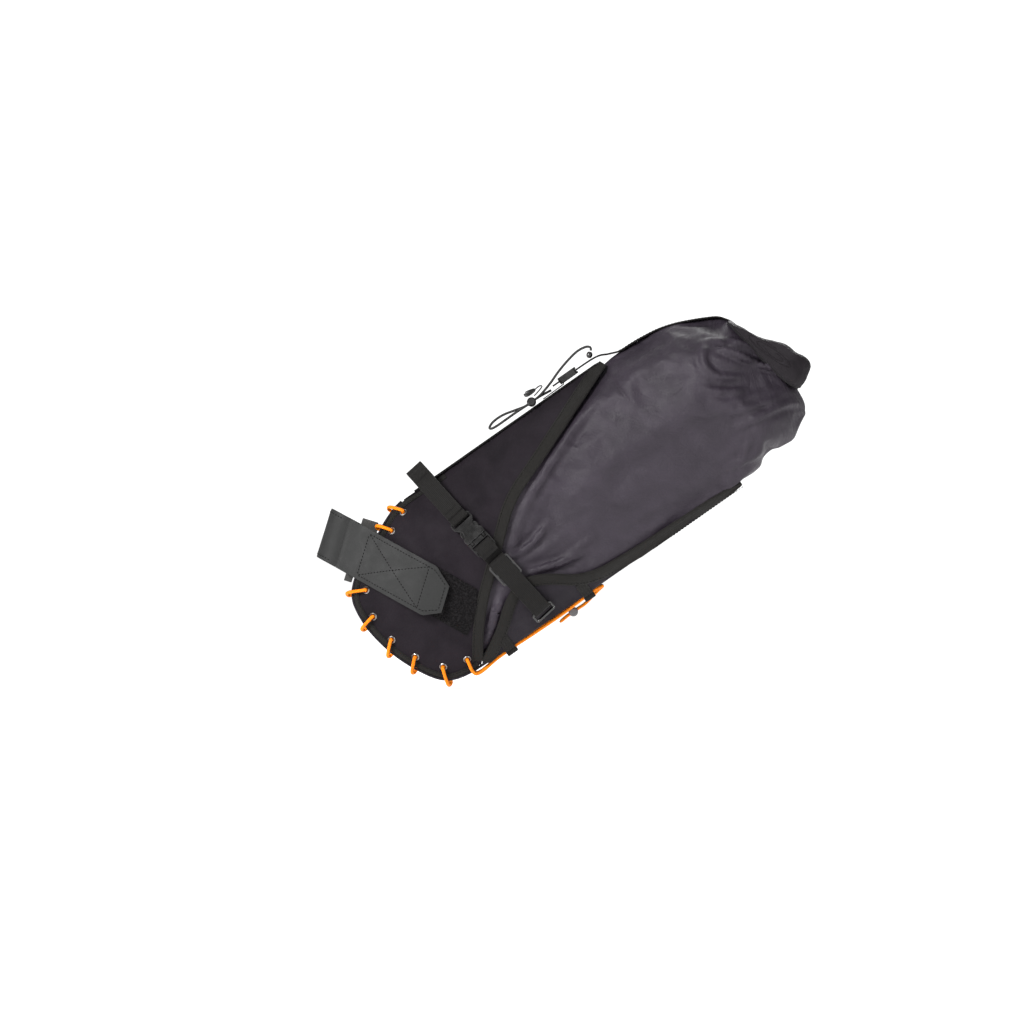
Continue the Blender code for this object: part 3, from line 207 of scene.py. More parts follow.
def piece(name, points, faces, look, body="root", matrix=BAG, replaces=(), slot=None, uvs=None,
          smooth=40.0):
    """A mesh piece from points in millimetres, placed, riding on its body and given its material."""
    mesh = bpy.data.meshes.new(name)
    mesh.from_pydata([matrix @ (Vector(p) * MM) for p in points], [], faces)
    mesh.validate()
    mesh.materials.append(look)
    if uvs is not None:
        layer = mesh.uv_layers.new(name="UVMap")
        for loop in mesh.loops:
            layer.data[loop.index].uv = uvs[loop.vertex_index]
    made = bpy.data.objects.new(name, mesh)
    bpy.context.collection.objects.link(made)
    mesh.shade_smooth()
    mesh.set_sharp_from_angle(angle=math.radians(smooth))
    finish_piece(made, body, replaces)
    return made


def finish_piece(made, body, replaces):
    """Puts a piece on its body, and in place of its CAD nodes."""
    if body:
        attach(made, body)
    if replaces:
        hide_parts(*replaces)


def skin_faces(count, total):
    """The faces of a closed skin over a number of sections of count points each, capped at both ends."""
    faces = []
    for r in range(total - 1):
        for k in range(count):
            nxt = (k + 1) % count
            faces.append((count * r + k, count * r + nxt, count * (r + 1) + nxt, count * (r + 1) + k))
    faces.append(tuple(range(count))[::-1])
    faces.append(tuple(range(count * (total - 1), count * total)))
    return faces


def grid_piece(name, rows, look, **more):
    """A skin over rows of points, each row a section. UVs are in centimetres along and round."""
    rows = [[Vector(p) for p in row] for row in rows]
    count = len(rows[0])
    points = [p for row in rows for p in row]
    along = lengths([row[0] for row in rows])
    uvs = []
    for row, mark in zip(rows, along):
        round_it = lengths(row)
        uvs += [(mark / 10, m / 10) for m in round_it]
    return piece(name, points, skin_faces(count, len(rows)), look, uvs=uvs, **more)


def tube(name, line, radius, look, sides=12, taper=False, **more):
    """A round cord along a line. taper rounds its ends off."""
    line = [Vector(p) for p in line]
    rows = []
    up = Vector((0, 1, 0))
    for k, point in enumerate(line):
        ahead = direction(line, k)
        side = up.cross(ahead)
        if side.length < 0.1:
            side = Vector((0, 0, 1)).cross(ahead)
        side.normalize()
        up = ahead.cross(side).normalized()
        r = radius
        from_end = min(k, len(line) - 1 - k)
        if taper and from_end < 2:
            r = radius * (0.45, 0.85)[from_end]
        row = []
        for n in range(sides):
            turn = 2 * math.pi * n / sides
            row.append(point + (side * math.cos(turn) + up * math.sin(turn)) * r)
        rows.append(row)
    return grid_piece(name, [list(reversed(r)) for r in rows], look, **more)


def band(name, line, across, width, thickness, look, crown=0.0, **more):
    """A strap with rounded edges along a line of points. crown raises its middle."""
    line = [Vector(p) for p in line]
    half = width / 2
    section = []
    columns = 7
    for k in range(columns):
        share = -1 + 2 * k / (columns - 1)
        section.append((share * (half - 0.25), 0.5 * thickness + crown * (1 - share * share)))
    section.append((half, 0.0))
    section += [(-y, -z) for y, z in section[:columns]]
    section.append((-half, 0.0))
    rows = []
    for k, point in enumerate(line):
        ahead = direction(line, k)
        level = (Vector(across) - ahead * Vector(across).dot(ahead)).normalized()
        out = level.cross(ahead)
        rows.append([point + level * y + out * z for y, z in section])
    return grid_piece(name, [list(reversed(r)) for r in rows], look, smooth=60, **more)


def sheet_mesh(name, loop, holes, place, thickness, look, grid, **more):
    """A closed sheet over a 2D region with holes. place(u, v, lift) maps it to the bag."""
    loops = [loop] + holes
    flat, edges = [], []
    for ring in loops:
        base = len(flat)
        flat += [Vector(p) for p in ring]
        edges += [(base + k, base + (k + 1) % len(ring)) for k in range(len(ring))]
    border = np.array([tuple(p) for ring in loops for p in ring])
    low, high = border.min(0), border.max(0)
    row, v = 0, low[1] + grid / 2
    while v < high[1]:
        u = low[0] + grid * (0.5 if row % 2 else 0.25)
        while u < high[0]:
            near = np.abs(border - (u, v)).sum(1).min()
            if near > 0.6 * grid and inside((u, v), loop) and not any(inside((u, v), h) for h in holes):
                flat.append(Vector((u, v)))
            u += grid
        v += grid * 0.87
        row += 1
    verts, _, faces, _, _, _ = delaunay_2d_cdt(flat, edges, [], 0, 1e-5)
    kept = []
    for face in faces:
        middle = sum((verts[k] for k in face), Vector((0, 0))) / 3
        if inside(middle, loop) and not any(inside(middle, h) for h in holes):
            kept.append(tuple(face))
    used = sorted({k for face in kept for k in face})
    order = {k: n for n, k in enumerate(used)}
    kept = [tuple(order[k] for k in face) for face in kept]
    count = len(used)
    points = [place(verts[k].x, verts[k].y, 0.0) for k in used]
    points += [place(verts[k].x, verts[k].y, -thickness) for k in used]
    uvs = [(verts[k].x / 10, verts[k].y / 10) for k in used] * 2
    pairs = {(f[k], f[(k + 1) % 3]) for f in kept for k in range(3)}
    walls = [p for p in pairs if (p[1], p[0]) not in pairs]
    solid = list(kept)
    solid += [tuple(count + k for k in reversed(face)) for face in kept]
    solid += [(q, p, p + count, q + count) for p, q in sorted(walls)]
    return piece(name, points, solid, look, uvs=uvs, **more)


def stitches(name, lines, look, length=2.3, gap=1.3, radius=0.32, sink=0.1, **more):
    """A row of thread stitches along each line of (place, outward) pairs."""
    points, faces = [], []
    for line in lines:
        places = [Vector(p) for p, _ in line]
        marks = lengths(places)
        at = gap
        k = 0
        while at + length < marks[-1]:
            ends = []
            for want in (at, at + length / 2, at + length):
                while k < len(marks) - 2 and marks[k + 1] < want:
                    k += 1
                share = (want - marks[k]) / max(marks[k + 1] - marks[k], 1e-9)
                out = line[k][1].lerp(line[k + 1][1], share).normalized()
                ends.append((places[k].lerp(places[k + 1], share), out))
            k = max(0, k - 2)
            ahead = (ends[2][0] - ends[0][0]).normalized()
            side = ends[1][1].cross(ahead).normalized()
            base = len(points)
            for n, ((spot, out), size) in enumerate(zip(ends, (0.55, 1.0, 0.55))):
                lift = radius * (size - 0.55) - sink
                for turn in range(5):
                    angle = 2 * math.pi * turn / 5
                    offset = side * math.cos(angle) + out * math.sin(angle)
                    points.append(spot + out * lift + offset * radius * size)
            for ring in range(2):
                for turn in range(5):
                    nxt = (turn + 1) % 5
                    a, b = base + 5 * ring + turn, base + 5 * ring + nxt
                    faces.append((a, a + 5, b + 5, b))
            faces.append(tuple(base + n for n in range(5)))
            faces.append(tuple(base + 10 + n for n in reversed(range(5))))
            at += length + gap
    return piece(name, points, faces, look, smooth=80, **more)


# --- the bag's shape ---
def rounded(outline, rounds=2):
    """A 2D outline with its corners rounded off."""
    return [(p.x, p.y) for p in chaikin([(*p, 0) for p in outline], rounds)]


NOSE, FINE_NOSE = rounded(NOSE_CORNERS), rounded(NOSE_CORNERS, 4)


def ray_gauge(a, b):
    """A point's share of the way from the centre to the nose outline."""
    da, db = a - CENTRE_A, b - CENTRE_B
    ends = np.array(FINE_NOSE)
    start, step = ends[:-1], np.diff(ends, axis=0)
    fx, fy = start[:, 0] - CENTRE_A, start[:, 1] - CENTRE_B
    cross = fx * step[:, 1] - fy * step[:, 0]
    return float(max(0.0, ((da * step[:, 1] - db * step[:, 0]) / cross).max()))


def gauge(a, b):
    """How far (a, b) is from the bag's centre line, as a share: 1 on the outline."""
    if a >= CENTRE_A:
        return abs(b - CENTRE_B) / HALF_HEIGHT
    return ray_gauge(a, b)


def half_width(a, b, shrink=1.0, narrow_top=False):
    """The bag's half-width at (a, b), out to the skin."""
    s = min(gauge(a, b) / shrink, 1.0)
    top = ease((b + 80) / 60)
    if not narrow_top:
        top *= ease((a - 40) / 60)
    share = FLOOR_SHARE + (RIDGE_SHARE - FLOOR_SHARE) * top
    return (HALF_WIDTH + WIDTH_SLOPE * a) * (share + (1 - share) * (1 - s**BULGE_POWER))


def skin(a, b, side, lift=0.0):
    """A point on the bag's side skin, lifted off it by some millimetres. side is -1 or 1."""
    d = 0.5
    w = half_width(a, b)
    wa = (half_width(a + d, b) - half_width(a - d, b)) / (2 * d)
    wb = (half_width(a, b + d) - half_width(a, b - d)) / (2 * d)
    normal = Vector((-wa, 1.0, -wb)).normalized()
    point = Vector((a, w, b)) + normal * lift
    return Vector((point.x, point.y * side, point.z))


def skin_normal(a, b, side):
    """The outward direction of the side skin."""
    return (skin(a, b, side, 1.0) - skin(a, b, side, 0.0)).normalized()


# --- materials ---
def shader(name, colour, roughness, metallic=0.0, sheen=0.0, specular=0.5, coat=0.0):
    """A Principled material: (material, node tree, shader)."""
    made = bpy.data.materials.new(name)
    made.use_nodes = True
    tree = made.node_tree
    bsdf = tree.nodes["Principled BSDF"]
    bsdf.inputs["Base Color"].default_value = (*colour, 1.0)
    bsdf.inputs["Roughness"].default_value = roughness
    bsdf.inputs["Metallic"].default_value = metallic
    bsdf.inputs["Specular IOR Level"].default_value = specular
    if sheen:
        bsdf.inputs["Sheen Weight"].default_value = sheen
        bsdf.inputs["Sheen Roughness"].default_value = 0.45
    if coat:
        bsdf.inputs["Coat Weight"].default_value = coat
        bsdf.inputs["Coat Roughness"].default_value = 0.2
    return made, tree, bsdf


def node(tree, kind, **settings):
    """A new node. Settings with a socket's name set or link it; the others are its properties."""
    made = tree.nodes.new(kind)
    for key, value in settings.items():
        socket = key.replace("_", " ")
        if hasattr(made, key) and key not in ("scale",):
            setattr(made, key, value)
        elif isinstance(value, bpy.types.NodeSocket):
            tree.links.new(value, made.inputs[socket])
        else:
            made.inputs[socket].default_value = value
    return made


def math_node(tree, operation, first, second=None):
    """A Math node's output."""
    made = tree.nodes.new("ShaderNodeMath")
    made.operation = operation
    for socket, value in zip(made.inputs, (first, second)):
        if isinstance(value, bpy.types.NodeSocket):
            tree.links.new(value, socket)
        elif value is not None:
            socket.default_value = value
    return made.outputs[0]


def spread(tree, value, low, high, start=0.35, end=0.65):
    """A value's range start..end turned into low..high."""
    made = tree.nodes.new("ShaderNodeMapRange")
    tree.links.new(value, made.inputs["Value"])
    for socket, number in zip(("From Min", "From Max", "To Min", "To Max"), (start, end, low, high)):
        made.inputs[socket].default_value = number
    return made.outputs["Result"]


def tint(tree, share, dark, light):
    """A colour between two, by a share."""
    made = tree.nodes.new("ShaderNodeMix")
    made.data_type = "RGBA"
    tree.links.new(share, made.inputs["Factor"])
    made.inputs[6].default_value = (*dark, 1.0)
    made.inputs[7].default_value = (*light, 1.0)
    return made.outputs[2]


def grain(tree, place, size, detail=3.0, distortion=0.0, rough=0.5):
    """Noise of a size given in the coordinates' own unit."""
    made = tree.nodes.new("ShaderNodeTexNoise")
    tree.links.new(place, made.inputs["Vector"])
    made.inputs["Scale"].default_value = 1.0 / size
    made.inputs["Detail"].default_value = detail
    made.inputs["Roughness"].default_value = rough
    made.inputs["Distortion"].default_value = distortion
    return made.outputs["Fac"]


def stripes(tree, place, axis, period):
    """A sine wave along one axis of the coordinates."""
    split = tree.nodes.new("ShaderNodeSeparateXYZ")
    tree.links.new(place, split.inputs[0])
    turned = math_node(tree, "MULTIPLY", split.outputs[axis], 2 * math.pi / period)
    return math_node(tree, "SINE", turned)


def weave(tree, place, period, axes=(0, 1)):
    """A plain weave: threads along one way pass over and under those along the other."""
    one = stripes(tree, place, axes[0], 2 * period)
    two = stripes(tree, place, axes[1], 2 * period)
    crossing = math_node(tree, "MULTIPLY", one, two)
    fine_one = stripes(tree, place, axes[0], period)
    fine_two = stripes(tree, place, axes[1], period)
    both = math_node(tree, "ADD", fine_one, fine_two)
    return math_node(tree, "ADD", crossing, math_node(tree, "MULTIPLY", both, 0.3))


def bumped(tree, bsdf, layers):
    """Stacks (height, strength, distance in metres) bumps under the shader's normal."""
    normal = None
    for height, strength, distance in layers:
        made = tree.nodes.new("ShaderNodeBump")
        tree.links.new(height, made.inputs["Height"])
        made.inputs["Strength"].default_value = strength
        made.inputs["Distance"].default_value = distance
        if normal is not None:
            tree.links.new(normal, made.inputs["Normal"])
        normal = made.outputs["Normal"]
    tree.links.new(normal, bsdf.inputs["Normal"])


def coords(tree, kind="UV"):
    """The UVs, in centimetres, or the object's own coordinates, in metres."""
    return tree.nodes.new("ShaderNodeTexCoord").outputs[kind]


def cloth_look(name, dark, light, roughness, period, strength, sheen=0.15, creases=0.25, specular=0.4):
    """Coated or plain woven cloth on UVs: weave, slubs, soft creases and uneven colour."""
    made, tree, bsdf = shader(name, light, roughness, sheen=sheen, specular=specular)
    uv = coords(tree)
    patches = math_node(tree, "MULTIPLY", grain(tree, uv, 4.0, 5.0, 0.6), 0.75)
    slubs = math_node(tree, "MULTIPLY", grain(tree, uv, 0.12, 2.0), 0.25)
    mixed = math_node(tree, "ADD", patches, slubs)
    tree.links.new(tint(tree, spread(tree, mixed, 0.0, 1.0), dark, light), bsdf.inputs["Base Color"])
    rough = spread(tree, grain(tree, uv, 1.3, 4.0), roughness - 0.07, roughness + 0.07)
    tree.links.new(rough, bsdf.inputs["Roughness"])
    crease = grain(tree, uv, 1.6, 4.0, 1.2, 0.55)
    bumped(tree, bsdf, [(crease, creases, 0.002), (grain(tree, uv, 0.3, 3.0), 0.12, 0.0006),
                        (weave(tree, uv, period), strength, 0.00012)])
    return made


def webbing_look(name, dark, light, period=0.15, ribs=0.22, roughness=0.62, strength=0.8):
    """Narrow woven tape: cross ribs, lengthwise ribs and a slight fuzz."""
    made, tree, bsdf = shader(name, light, roughness, sheen=0.03, specular=0.16)
    uv = coords(tree)
    woven = weave(tree, uv, period)
    rib = stripes(tree, uv, 1, ribs)
    height = math_node(tree, "ADD", woven, math_node(tree, "MULTIPLY", rib, 0.6))
    fuzz = grain(tree, uv, 0.05, 3.0)
    # The weave's low threads are painted darker and its high threads lighter: painted shade between the
    # threads, with random fuzz tone.
    shade = math_node(tree, "ADD", math_node(tree, "MULTIPLY", height, 0.2), fuzz)
    share = spread(tree, shade, 0.0, 1.0, 0.2, 0.8)
    tree.links.new(tint(tree, share, dark, light), bsdf.inputs["Base Color"])
    sag = grain(tree, uv, 1.4, 3.0)
    bumped(tree, bsdf, [(sag, 0.2, 0.0015), (fuzz, 0.25, 0.0003), (height, strength, 0.00025)])
    return made


def rubber_look(name, dark, light, roughness=0.62, kind="UV", fleck=2.2):
    """Smooth synthetic rubber sheet with a fine pebbled grain and faint rubbed marks."""
    made, tree, bsdf = shader(name, light, roughness, specular=0.3)
    uv = coords(tree, kind)
    if kind == "Object":
        metres = tree.nodes.new("ShaderNodeVectorMath")
        metres.operation = "SCALE"
        tree.links.new(uv, metres.inputs[0])
        metres.inputs["Scale"].default_value = 100.0
        uv = metres.outputs[0]
    cells = node(tree, "ShaderNodeTexVoronoi", Vector=uv, Scale=26.0)
    marks = grain(tree, uv, fleck, 6.0, 1.5, 0.6)
    share = spread(tree, marks, 0.0, 1.0, 0.3, 0.7)
    tree.links.new(tint(tree, share, dark, light), bsdf.inputs["Base Color"])
    tree.links.new(spread(tree, marks, roughness - 0.08, roughness + 0.1), bsdf.inputs["Roughness"])
    waves = grain(tree, uv, 1.8, 3.0)
    bumped(tree, bsdf, [(waves, 0.15, 0.0015), (cells.outputs["Distance"], 0.35, 0.00015)])
    return made


def plastic_look(name, dark, light, roughness=0.38, specular=0.5):
    """Moulded plastic with a spark-eroded grain, on the object's own coordinates."""
    made, tree, bsdf = shader(name, light, roughness, specular=specular)
    place = coords(tree, "Object")
    blotch = grain(tree, place, 0.009, 4.0)
    fine = grain(tree, place, 0.0005, 2.0)
    tree.links.new(tint(tree, spread(tree, blotch, 0.0, 1.0), dark, light), bsdf.inputs["Base Color"])
    tree.links.new(spread(tree, blotch, roughness - 0.06, roughness + 0.08), bsdf.inputs["Roughness"])
    bumped(tree, bsdf, [(blotch, 0.04, 0.0008), (fine, 0.07, 0.00008)])
    return made


def metal_look(name, dark, light, roughness):
    """Plated metal with fine turned marks and worn, darker patches."""
    made, tree, bsdf = shader(name, light, roughness, metallic=1.0)
    place = coords(tree, "Object")
    wear = grain(tree, place, 0.002, 5.0)
    tree.links.new(tint(tree, spread(tree, wear, 0.0, 1.0), dark, light), bsdf.inputs["Base Color"])
    tree.links.new(spread(tree, wear, roughness + 0.12, roughness - 0.05), bsdf.inputs["Roughness"])
    bumped(tree, bsdf, [(grain(tree, place, 0.0003, 3.0), 0.2, 0.00005)])
    return made


# dark is the cord's painted shade colour, light its lit colour, and the third colour its painted highlight.
def braid_look(name, dark, light, painted_highlight, roughness=0.42, period=0.16, specular=0.5):
    """Braided cord cover: diamonds of threads wound both ways, painted darker in the grooves and lighter on
    the thread crests (painted shade and light), with painted highlight spots.
    """
    made, tree, bsdf = shader(name, light, roughness, specular=specular)
    uv = coords(tree)
    split = tree.nodes.new("ShaderNodeSeparateXYZ")
    tree.links.new(uv, split.inputs[0])
    heights = []
    for sign in (1.0, -1.0):
        lean = math_node(tree, "MULTIPLY", split.outputs[1], 1.1 * sign)
        slope = math_node(tree, "ADD", split.outputs[0], lean)
        heights.append(math_node(tree, "SINE", math_node(tree, "MULTIPLY", slope, 2 * math.pi / period)))
    height = math_node(tree, "MAXIMUM", heights[0], heights[1])
    # Painted shade and light: the cord is coloured dark in the grooves between threads and light on their
    # crests.
    base = tint(tree, spread(tree, height, 0.0, 1.0, -0.3, 0.9), dark, light)
    # Painted highlight: spots where the two thread waves are in step take the highlight colour.
    fleck = math_node(tree, "MULTIPLY", heights[0], heights[1])
    mixed = tree.nodes.new("ShaderNodeMix")
    mixed.data_type = "RGBA"
    tree.links.new(spread(tree, fleck, 0.0, 0.6, 0.5, 1.0), mixed.inputs["Factor"])
    tree.links.new(base, mixed.inputs[6])
    mixed.inputs[7].default_value = (*painted_highlight, 1.0)
    tree.links.new(mixed.outputs[2], bsdf.inputs["Base Color"])
    bumped(tree, bsdf, [(height, 0.7, 0.0003), (grain(tree, uv, 0.02, 2.0), 0.15, 0.0001)])
    return made


def loop_look():
    """Loop tape: a dense dark nap with tufts."""
    made, tree, bsdf = shader("loop_nap", (0.006, 0.0055, 0.006), 0.95, specular=0.04)
    uv = coords(tree)
    tufts = node(tree, "ShaderNodeTexVoronoi", Vector=uv, Scale=7.0)
    nap = grain(tree, uv, 0.05, 5.0, 0.8, 0.7)
    # The pile is painted darker in the tufts' hollows and the nap's low parts and lighter on their tops:
    # painted shade and light following the bump.
    shade = math_node(tree, "ADD", math_node(tree, "MULTIPLY", tufts.outputs["Distance"], 0.5), nap)
    share = spread(tree, shade, 0.0, 1.0, 0.45, 1.0)
    pile = tint(tree, share, (0.0008, 0.0008, 0.0008), (0.020, 0.0185, 0.0195))
    tree.links.new(pile, bsdf.inputs["Base Color"])
    bumped(tree, bsdf, [(tufts.outputs["Distance"], 0.8, 0.0012), (nap, 1.0, 0.0012)])
    return made


LOOK = {
    "panel": cloth_look("panel_cloth", (0.0075, 0.0056, 0.0078), (0.0140, 0.0106, 0.0142), 0.72, 0.075, 0.6,
                        sheen=0.02, specular=0.1),
    "base": cloth_look("base_cloth", (0.0090, 0.0072, 0.0100), (0.0170, 0.0136, 0.0185), 0.62, 0.075, 0.6,
                       sheen=0.02, specular=0.14),
    "dry": cloth_look("dry_bag_cloth", (0.0215, 0.0170, 0.0235), (0.0330, 0.0262, 0.0360), 0.46, 0.05, 0.4,
                      sheen=0.0, creases=0.5, specular=0.22),
    # A darker, matter copy of the dry bag's cloth for the rolled mouth: its darker colour is painted shade.
    "dry_painted_shade": cloth_look("dry_bag_cloth_painted_shade", (0.0075, 0.0060, 0.0075), (0.0150, 0.0122, 0.0150), 0.65, 0.05,
                            0.4, sheen=0.02, specular=0.16),
    "binding": webbing_look("binding_tape", (0.0050, 0.0046, 0.0040), (0.0145, 0.0130, 0.0116), 0.085, 0.12,
                            0.6, 0.7),
    "webbing": webbing_look("webbing", (0.0038, 0.0034, 0.0032), (0.0110, 0.0100, 0.0093), 0.1, 0.16,
                            strength=0.7),
    "tape": webbing_look("grosgrain", (0.0055, 0.0050, 0.0046), (0.0140, 0.0130, 0.0120), 0.1, 0.3, 0.65),
    "strap": rubber_look("strap_rubber", (0.0105, 0.0106, 0.0105), (0.0168, 0.0170, 0.0168)),
    "pad": rubber_look("grip_foam", (0.006, 0.006, 0.006), (0.09, 0.088, 0.086), 0.8, "Object", 0.05),
    "plastic": plastic_look("acetal_black", (0.0040, 0.0038, 0.0038), (0.0085, 0.0080, 0.0078), 0.2, 0.7),
    "grey": plastic_look("acetal_grey", (0.10, 0.10, 0.105), (0.16, 0.16, 0.165), 0.36),
    "steel": metal_look("eyelet_plate", (0.13, 0.12, 0.12), (0.42, 0.40, 0.38), 0.3),
    "spring": metal_look("spring_wire", (0.35, 0.35, 0.35), (0.6, 0.6, 0.6), 0.25),
    # The lace is one orange cord: its red-orange is painted shade and its yellow a painted highlight.
    "lace": braid_look("lace_braid", (1.0, 0.10, 0.0005), (1.0, 0.30, 0.001), (1.0, 0.70, 0.03),
                       specular=0.2),
    # The bungee is one dark grey cord: its darker grey is painted shade and its pale grey a painted
    # highlight.
    "bungee": braid_look("bungee_braid", (0.010, 0.010, 0.010), (0.03, 0.029, 0.028), (0.08, 0.08, 0.08),
                         0.5, 0.11),
    "thread": webbing_look("thread", (0.0012, 0.0011, 0.0011), (0.0045, 0.0042, 0.0040), 0.06, 0.05, 0.6,
                           0.3),
    "loop": loop_look(),
}


# --- camera, light and floor ---
def aim(made, target):
    """Points an object's -Z at a place."""
    made.rotation_euler = (Vector(target) - made.location).to_track_quat("-Z", "Y").to_euler()


def studio():
    """The side-on camera, soft lights all round, a pale floor and a white sky."""
    camera = bpy.data.objects.new("camera", bpy.data.cameras.new("camera"))
    bpy.context.collection.objects.link(camera)
    camera.location = (0.1806, -6.05, 0.0302)
    camera.rotation_euler = (math.radians(90), 0, 0)
    camera.data.lens = 203.0
    camera.data.clip_end = 120.0
    bpy.context.scene.camera = camera
    places = (
        ("key", (-1.9, -2.5, 1.5), 0.9, 120.0),
        ("fill", (2.6, -2.6, 0.6), 1.4, 14.0),
        ("top", (0.5, 0.5, 2.8), 1.8, 9.0),
        ("back", (0.9, 2.4, 1.9), 1.6, 24.0),
    )
    for name, spot, size, power in places:
        light = bpy.data.objects.new(name, bpy.data.lights.new(name, "AREA"))
        bpy.context.collection.objects.link(light)
        light.location = spot
        light.data.size = size
        light.data.energy = power
        aim(light, (0.2, 0, 0.02))
    sky = bpy.data.worlds.new("studio")
    sky.use_nodes = True
    tree = sky.node_tree
    tree.nodes["Background"].inputs["Color"].default_value = (1.0, 1.0, 1.0, 1.0)
    seen = tree.nodes.new("ShaderNodeLightPath").outputs["Is Camera Ray"]
    strength = math_node(tree, "ADD", math_node(tree, "MULTIPLY", seen, 0.7), 0.3)
    tree.links.new(strength, tree.nodes["Background"].inputs["Strength"])
    bpy.context.scene.world = sky
    bpy.context.scene.view_settings.view_transform = "Standard"
    bpy.context.scene.view_settings.exposure = 0.3
    low = cad_box[0].z - 0.004
    points = [(-40, -40, low), (40, -40, low), (40, 40, low), (-40, 40, low)]
    faces = [(0, 1, 2, 3)]
    mesh = bpy.data.meshes.new("floor")
    mesh.from_pydata(points, [], faces)
    mesh.shade_smooth()
    look, tree, bsdf = shader("pale_floor", (0.86, 0.86, 0.86), 0.85, specular=0.1)
    bsdf.inputs["Emission Color"].default_value = (1.0, 1.0, 1.0, 1.0)
    bsdf.inputs["Emission Strength"].default_value = 0.6
    mesh.materials.append(look)
    floor = bpy.data.objects.new("floor", mesh)
    bpy.context.collection.objects.link(floor)


studio()


# --- free cord on the ridge: anchor, lock, front loop and free end ---
def lock_slots(cord_r):
    """Where two cords cross a lock's barrel, from its closed end."""
    low = 1.5 + 5.0 + 2.4
    return low + GAP + cord_r, low + 2 * GAP + 3 * cord_r


slots = lock_slots(CORD_R)
lanes = [8.0 - slot for slot in slots]
b = LOCK_B
mid_lane = (lanes[0] + lanes[1]) / 2
BUNGEE_ROUTE = (
    (272, lanes[0] + 2.5, RIDGE_WEB_B + 4.8), (263, lanes[0] + 0.6, b - 0.6), (255, lanes[0], b),
    (241, lanes[0], b), (230, lanes[0] + 1.2, b + 2.6), (216, lanes[0] + 3.4, b + 6.0),
    (204, lanes[0] + 4.0, b + 6.2), (197.0, mid_lane + 2.5, b + 3.6),
    (197.5, mid_lane - 2.5, b + 1.2), (204, lanes[1] - 4.2, b + 0.2),
    (214, lanes[1] - 4.0, b + 0.2), (228, lanes[1] - 1.6, b + 0.3),
    (241, lanes[1], b), (255, lanes[1], b),
    (264, lanes[1] - 0.5, b + 1.6), (276, -12, b + 5), (290, -11, b + 10), (305, -9, b + 14),
    (318, -7.5, b + 16), (328, -6.5, b + 14.5), (331.5, -6.3, b + 11), (329.5, -6.4, b + 8.6),
)
bungee_line = smooth_route(BUNGEE_ROUTE, 2.0)


def lathe(name, profile, look, matrix, sides=28, **more):
    """A turned piece from an (r, z) profile in millimetres."""
    points = []
    for radius, z in profile:
        radius = max(radius, 0.001)
        turns = [2 * math.pi * k / sides for k in range(sides)]
        points += [(radius * math.cos(turn), radius * math.sin(turn), z) for turn in turns]
    return piece(name, points, skin_faces(sides, len(profile)), look, matrix=matrix, **more)


bead_seat = BAG @ frame_matrix((326.0, -6.8, b + 5.6), (0, 1, 0), (0.76, 0.1, 0.65))
BEAD_PROFILE = ((0, -3.4), (2.0, -3.2), (3.1, -1.6), (3.3, 0.6), (2.5, 2.6), (1.6, 3.3), (0, 3.3))
bead = lathe("bungee_bead", rounded(BEAD_PROFILE), LOOK["plastic"], bead_seat, slot="plastic",
             replaces=("bungee_end",))
tab_seat = BAG @ frame_matrix((252.0, -7.5, b + 9.2), (1, 0, -0.1), (0, -1, 0))
TAB_EDGE = (
    (-7, 0), (-6, 2.4), (-2, 3.2), (5, 2.2), (7, 1.2), (7, -1.2), (5, -2.2), (-2, -3.2), (-6, -2.4), (-7, 0),
)
TAB_LAYERS = ((0.86, -1.1), (1, -0.7), (1, 0.7), (0.86, 1.1))  # share of the outline's size, and height
tab_rows = [[(x * size, y * size, z) for x, y in rounded(TAB_EDGE)[:-1]] for size, z in TAB_LAYERS]
grid_piece("thumb_tab", tab_rows, LOOK["plastic"], matrix=tab_seat, slot="webbing", replaces=("pull_tab",))
TAB_LOOP_ROUTE = (
    (258, -8.2, b + 8.6), (264, -8.6, b + 9.0), (266.5, -8.4, b + 7.2), (262, -8.3, b + 5.4),
    (254, -8.0, b + 3.6),
)
tube("thumb_tab_loop", smooth_route(TAB_LOOP_ROUTE, 1.0), 0.7, LOOK["bungee"], sides=8)
bungee = tube("ridge_cord", bungee_line, CORD_R, LOOK["bungee"], replaces=("ridge_bungee",), slot="bungee")
lengths(bungee_line)[-1] * MM


# --- holster: side panels, base, binding, stitching ---
def pucker(a, b_at, side):
    """The panel's gentle relief: soft waves, and a dimple round each eyelet."""
    lift = 0.75 * wave((a, b_at, 40 * side), 48.0, 1.0) + 0.3 * wave((a, b_at, 40 * side), 17.0, 5.0)
    for ea, eb in EYELETS:
        d = (a - ea) ** 2 + (b_at - eb) ** 2
        if d < 900:
            fade = math.exp(-d / 130.0)
            lift = lift * (1 - fade) - 0.25 * fade * (1 - math.exp(-d / 20.0))
    return lift


def panel_place(side, raise_by=0.0):
    """A function from (a, b, lift) to the side panel's own relief."""
    def place(a, b_at, lift):
        b_at = min(b_at, RIDGE_B + 0.8)
        held = min(max(b_at, BOTTOM_B + 0.6), RIDGE_B - 0.9)
        spot = skin(a, held, side, lift + raise_by + pucker(a, held, side))
        return spot + Vector((0, 0, b_at - held))
    return place


mouth_line = resample([(*p, 0) for p in rounded(MOUTH_EDGE, 3)], 3.0)


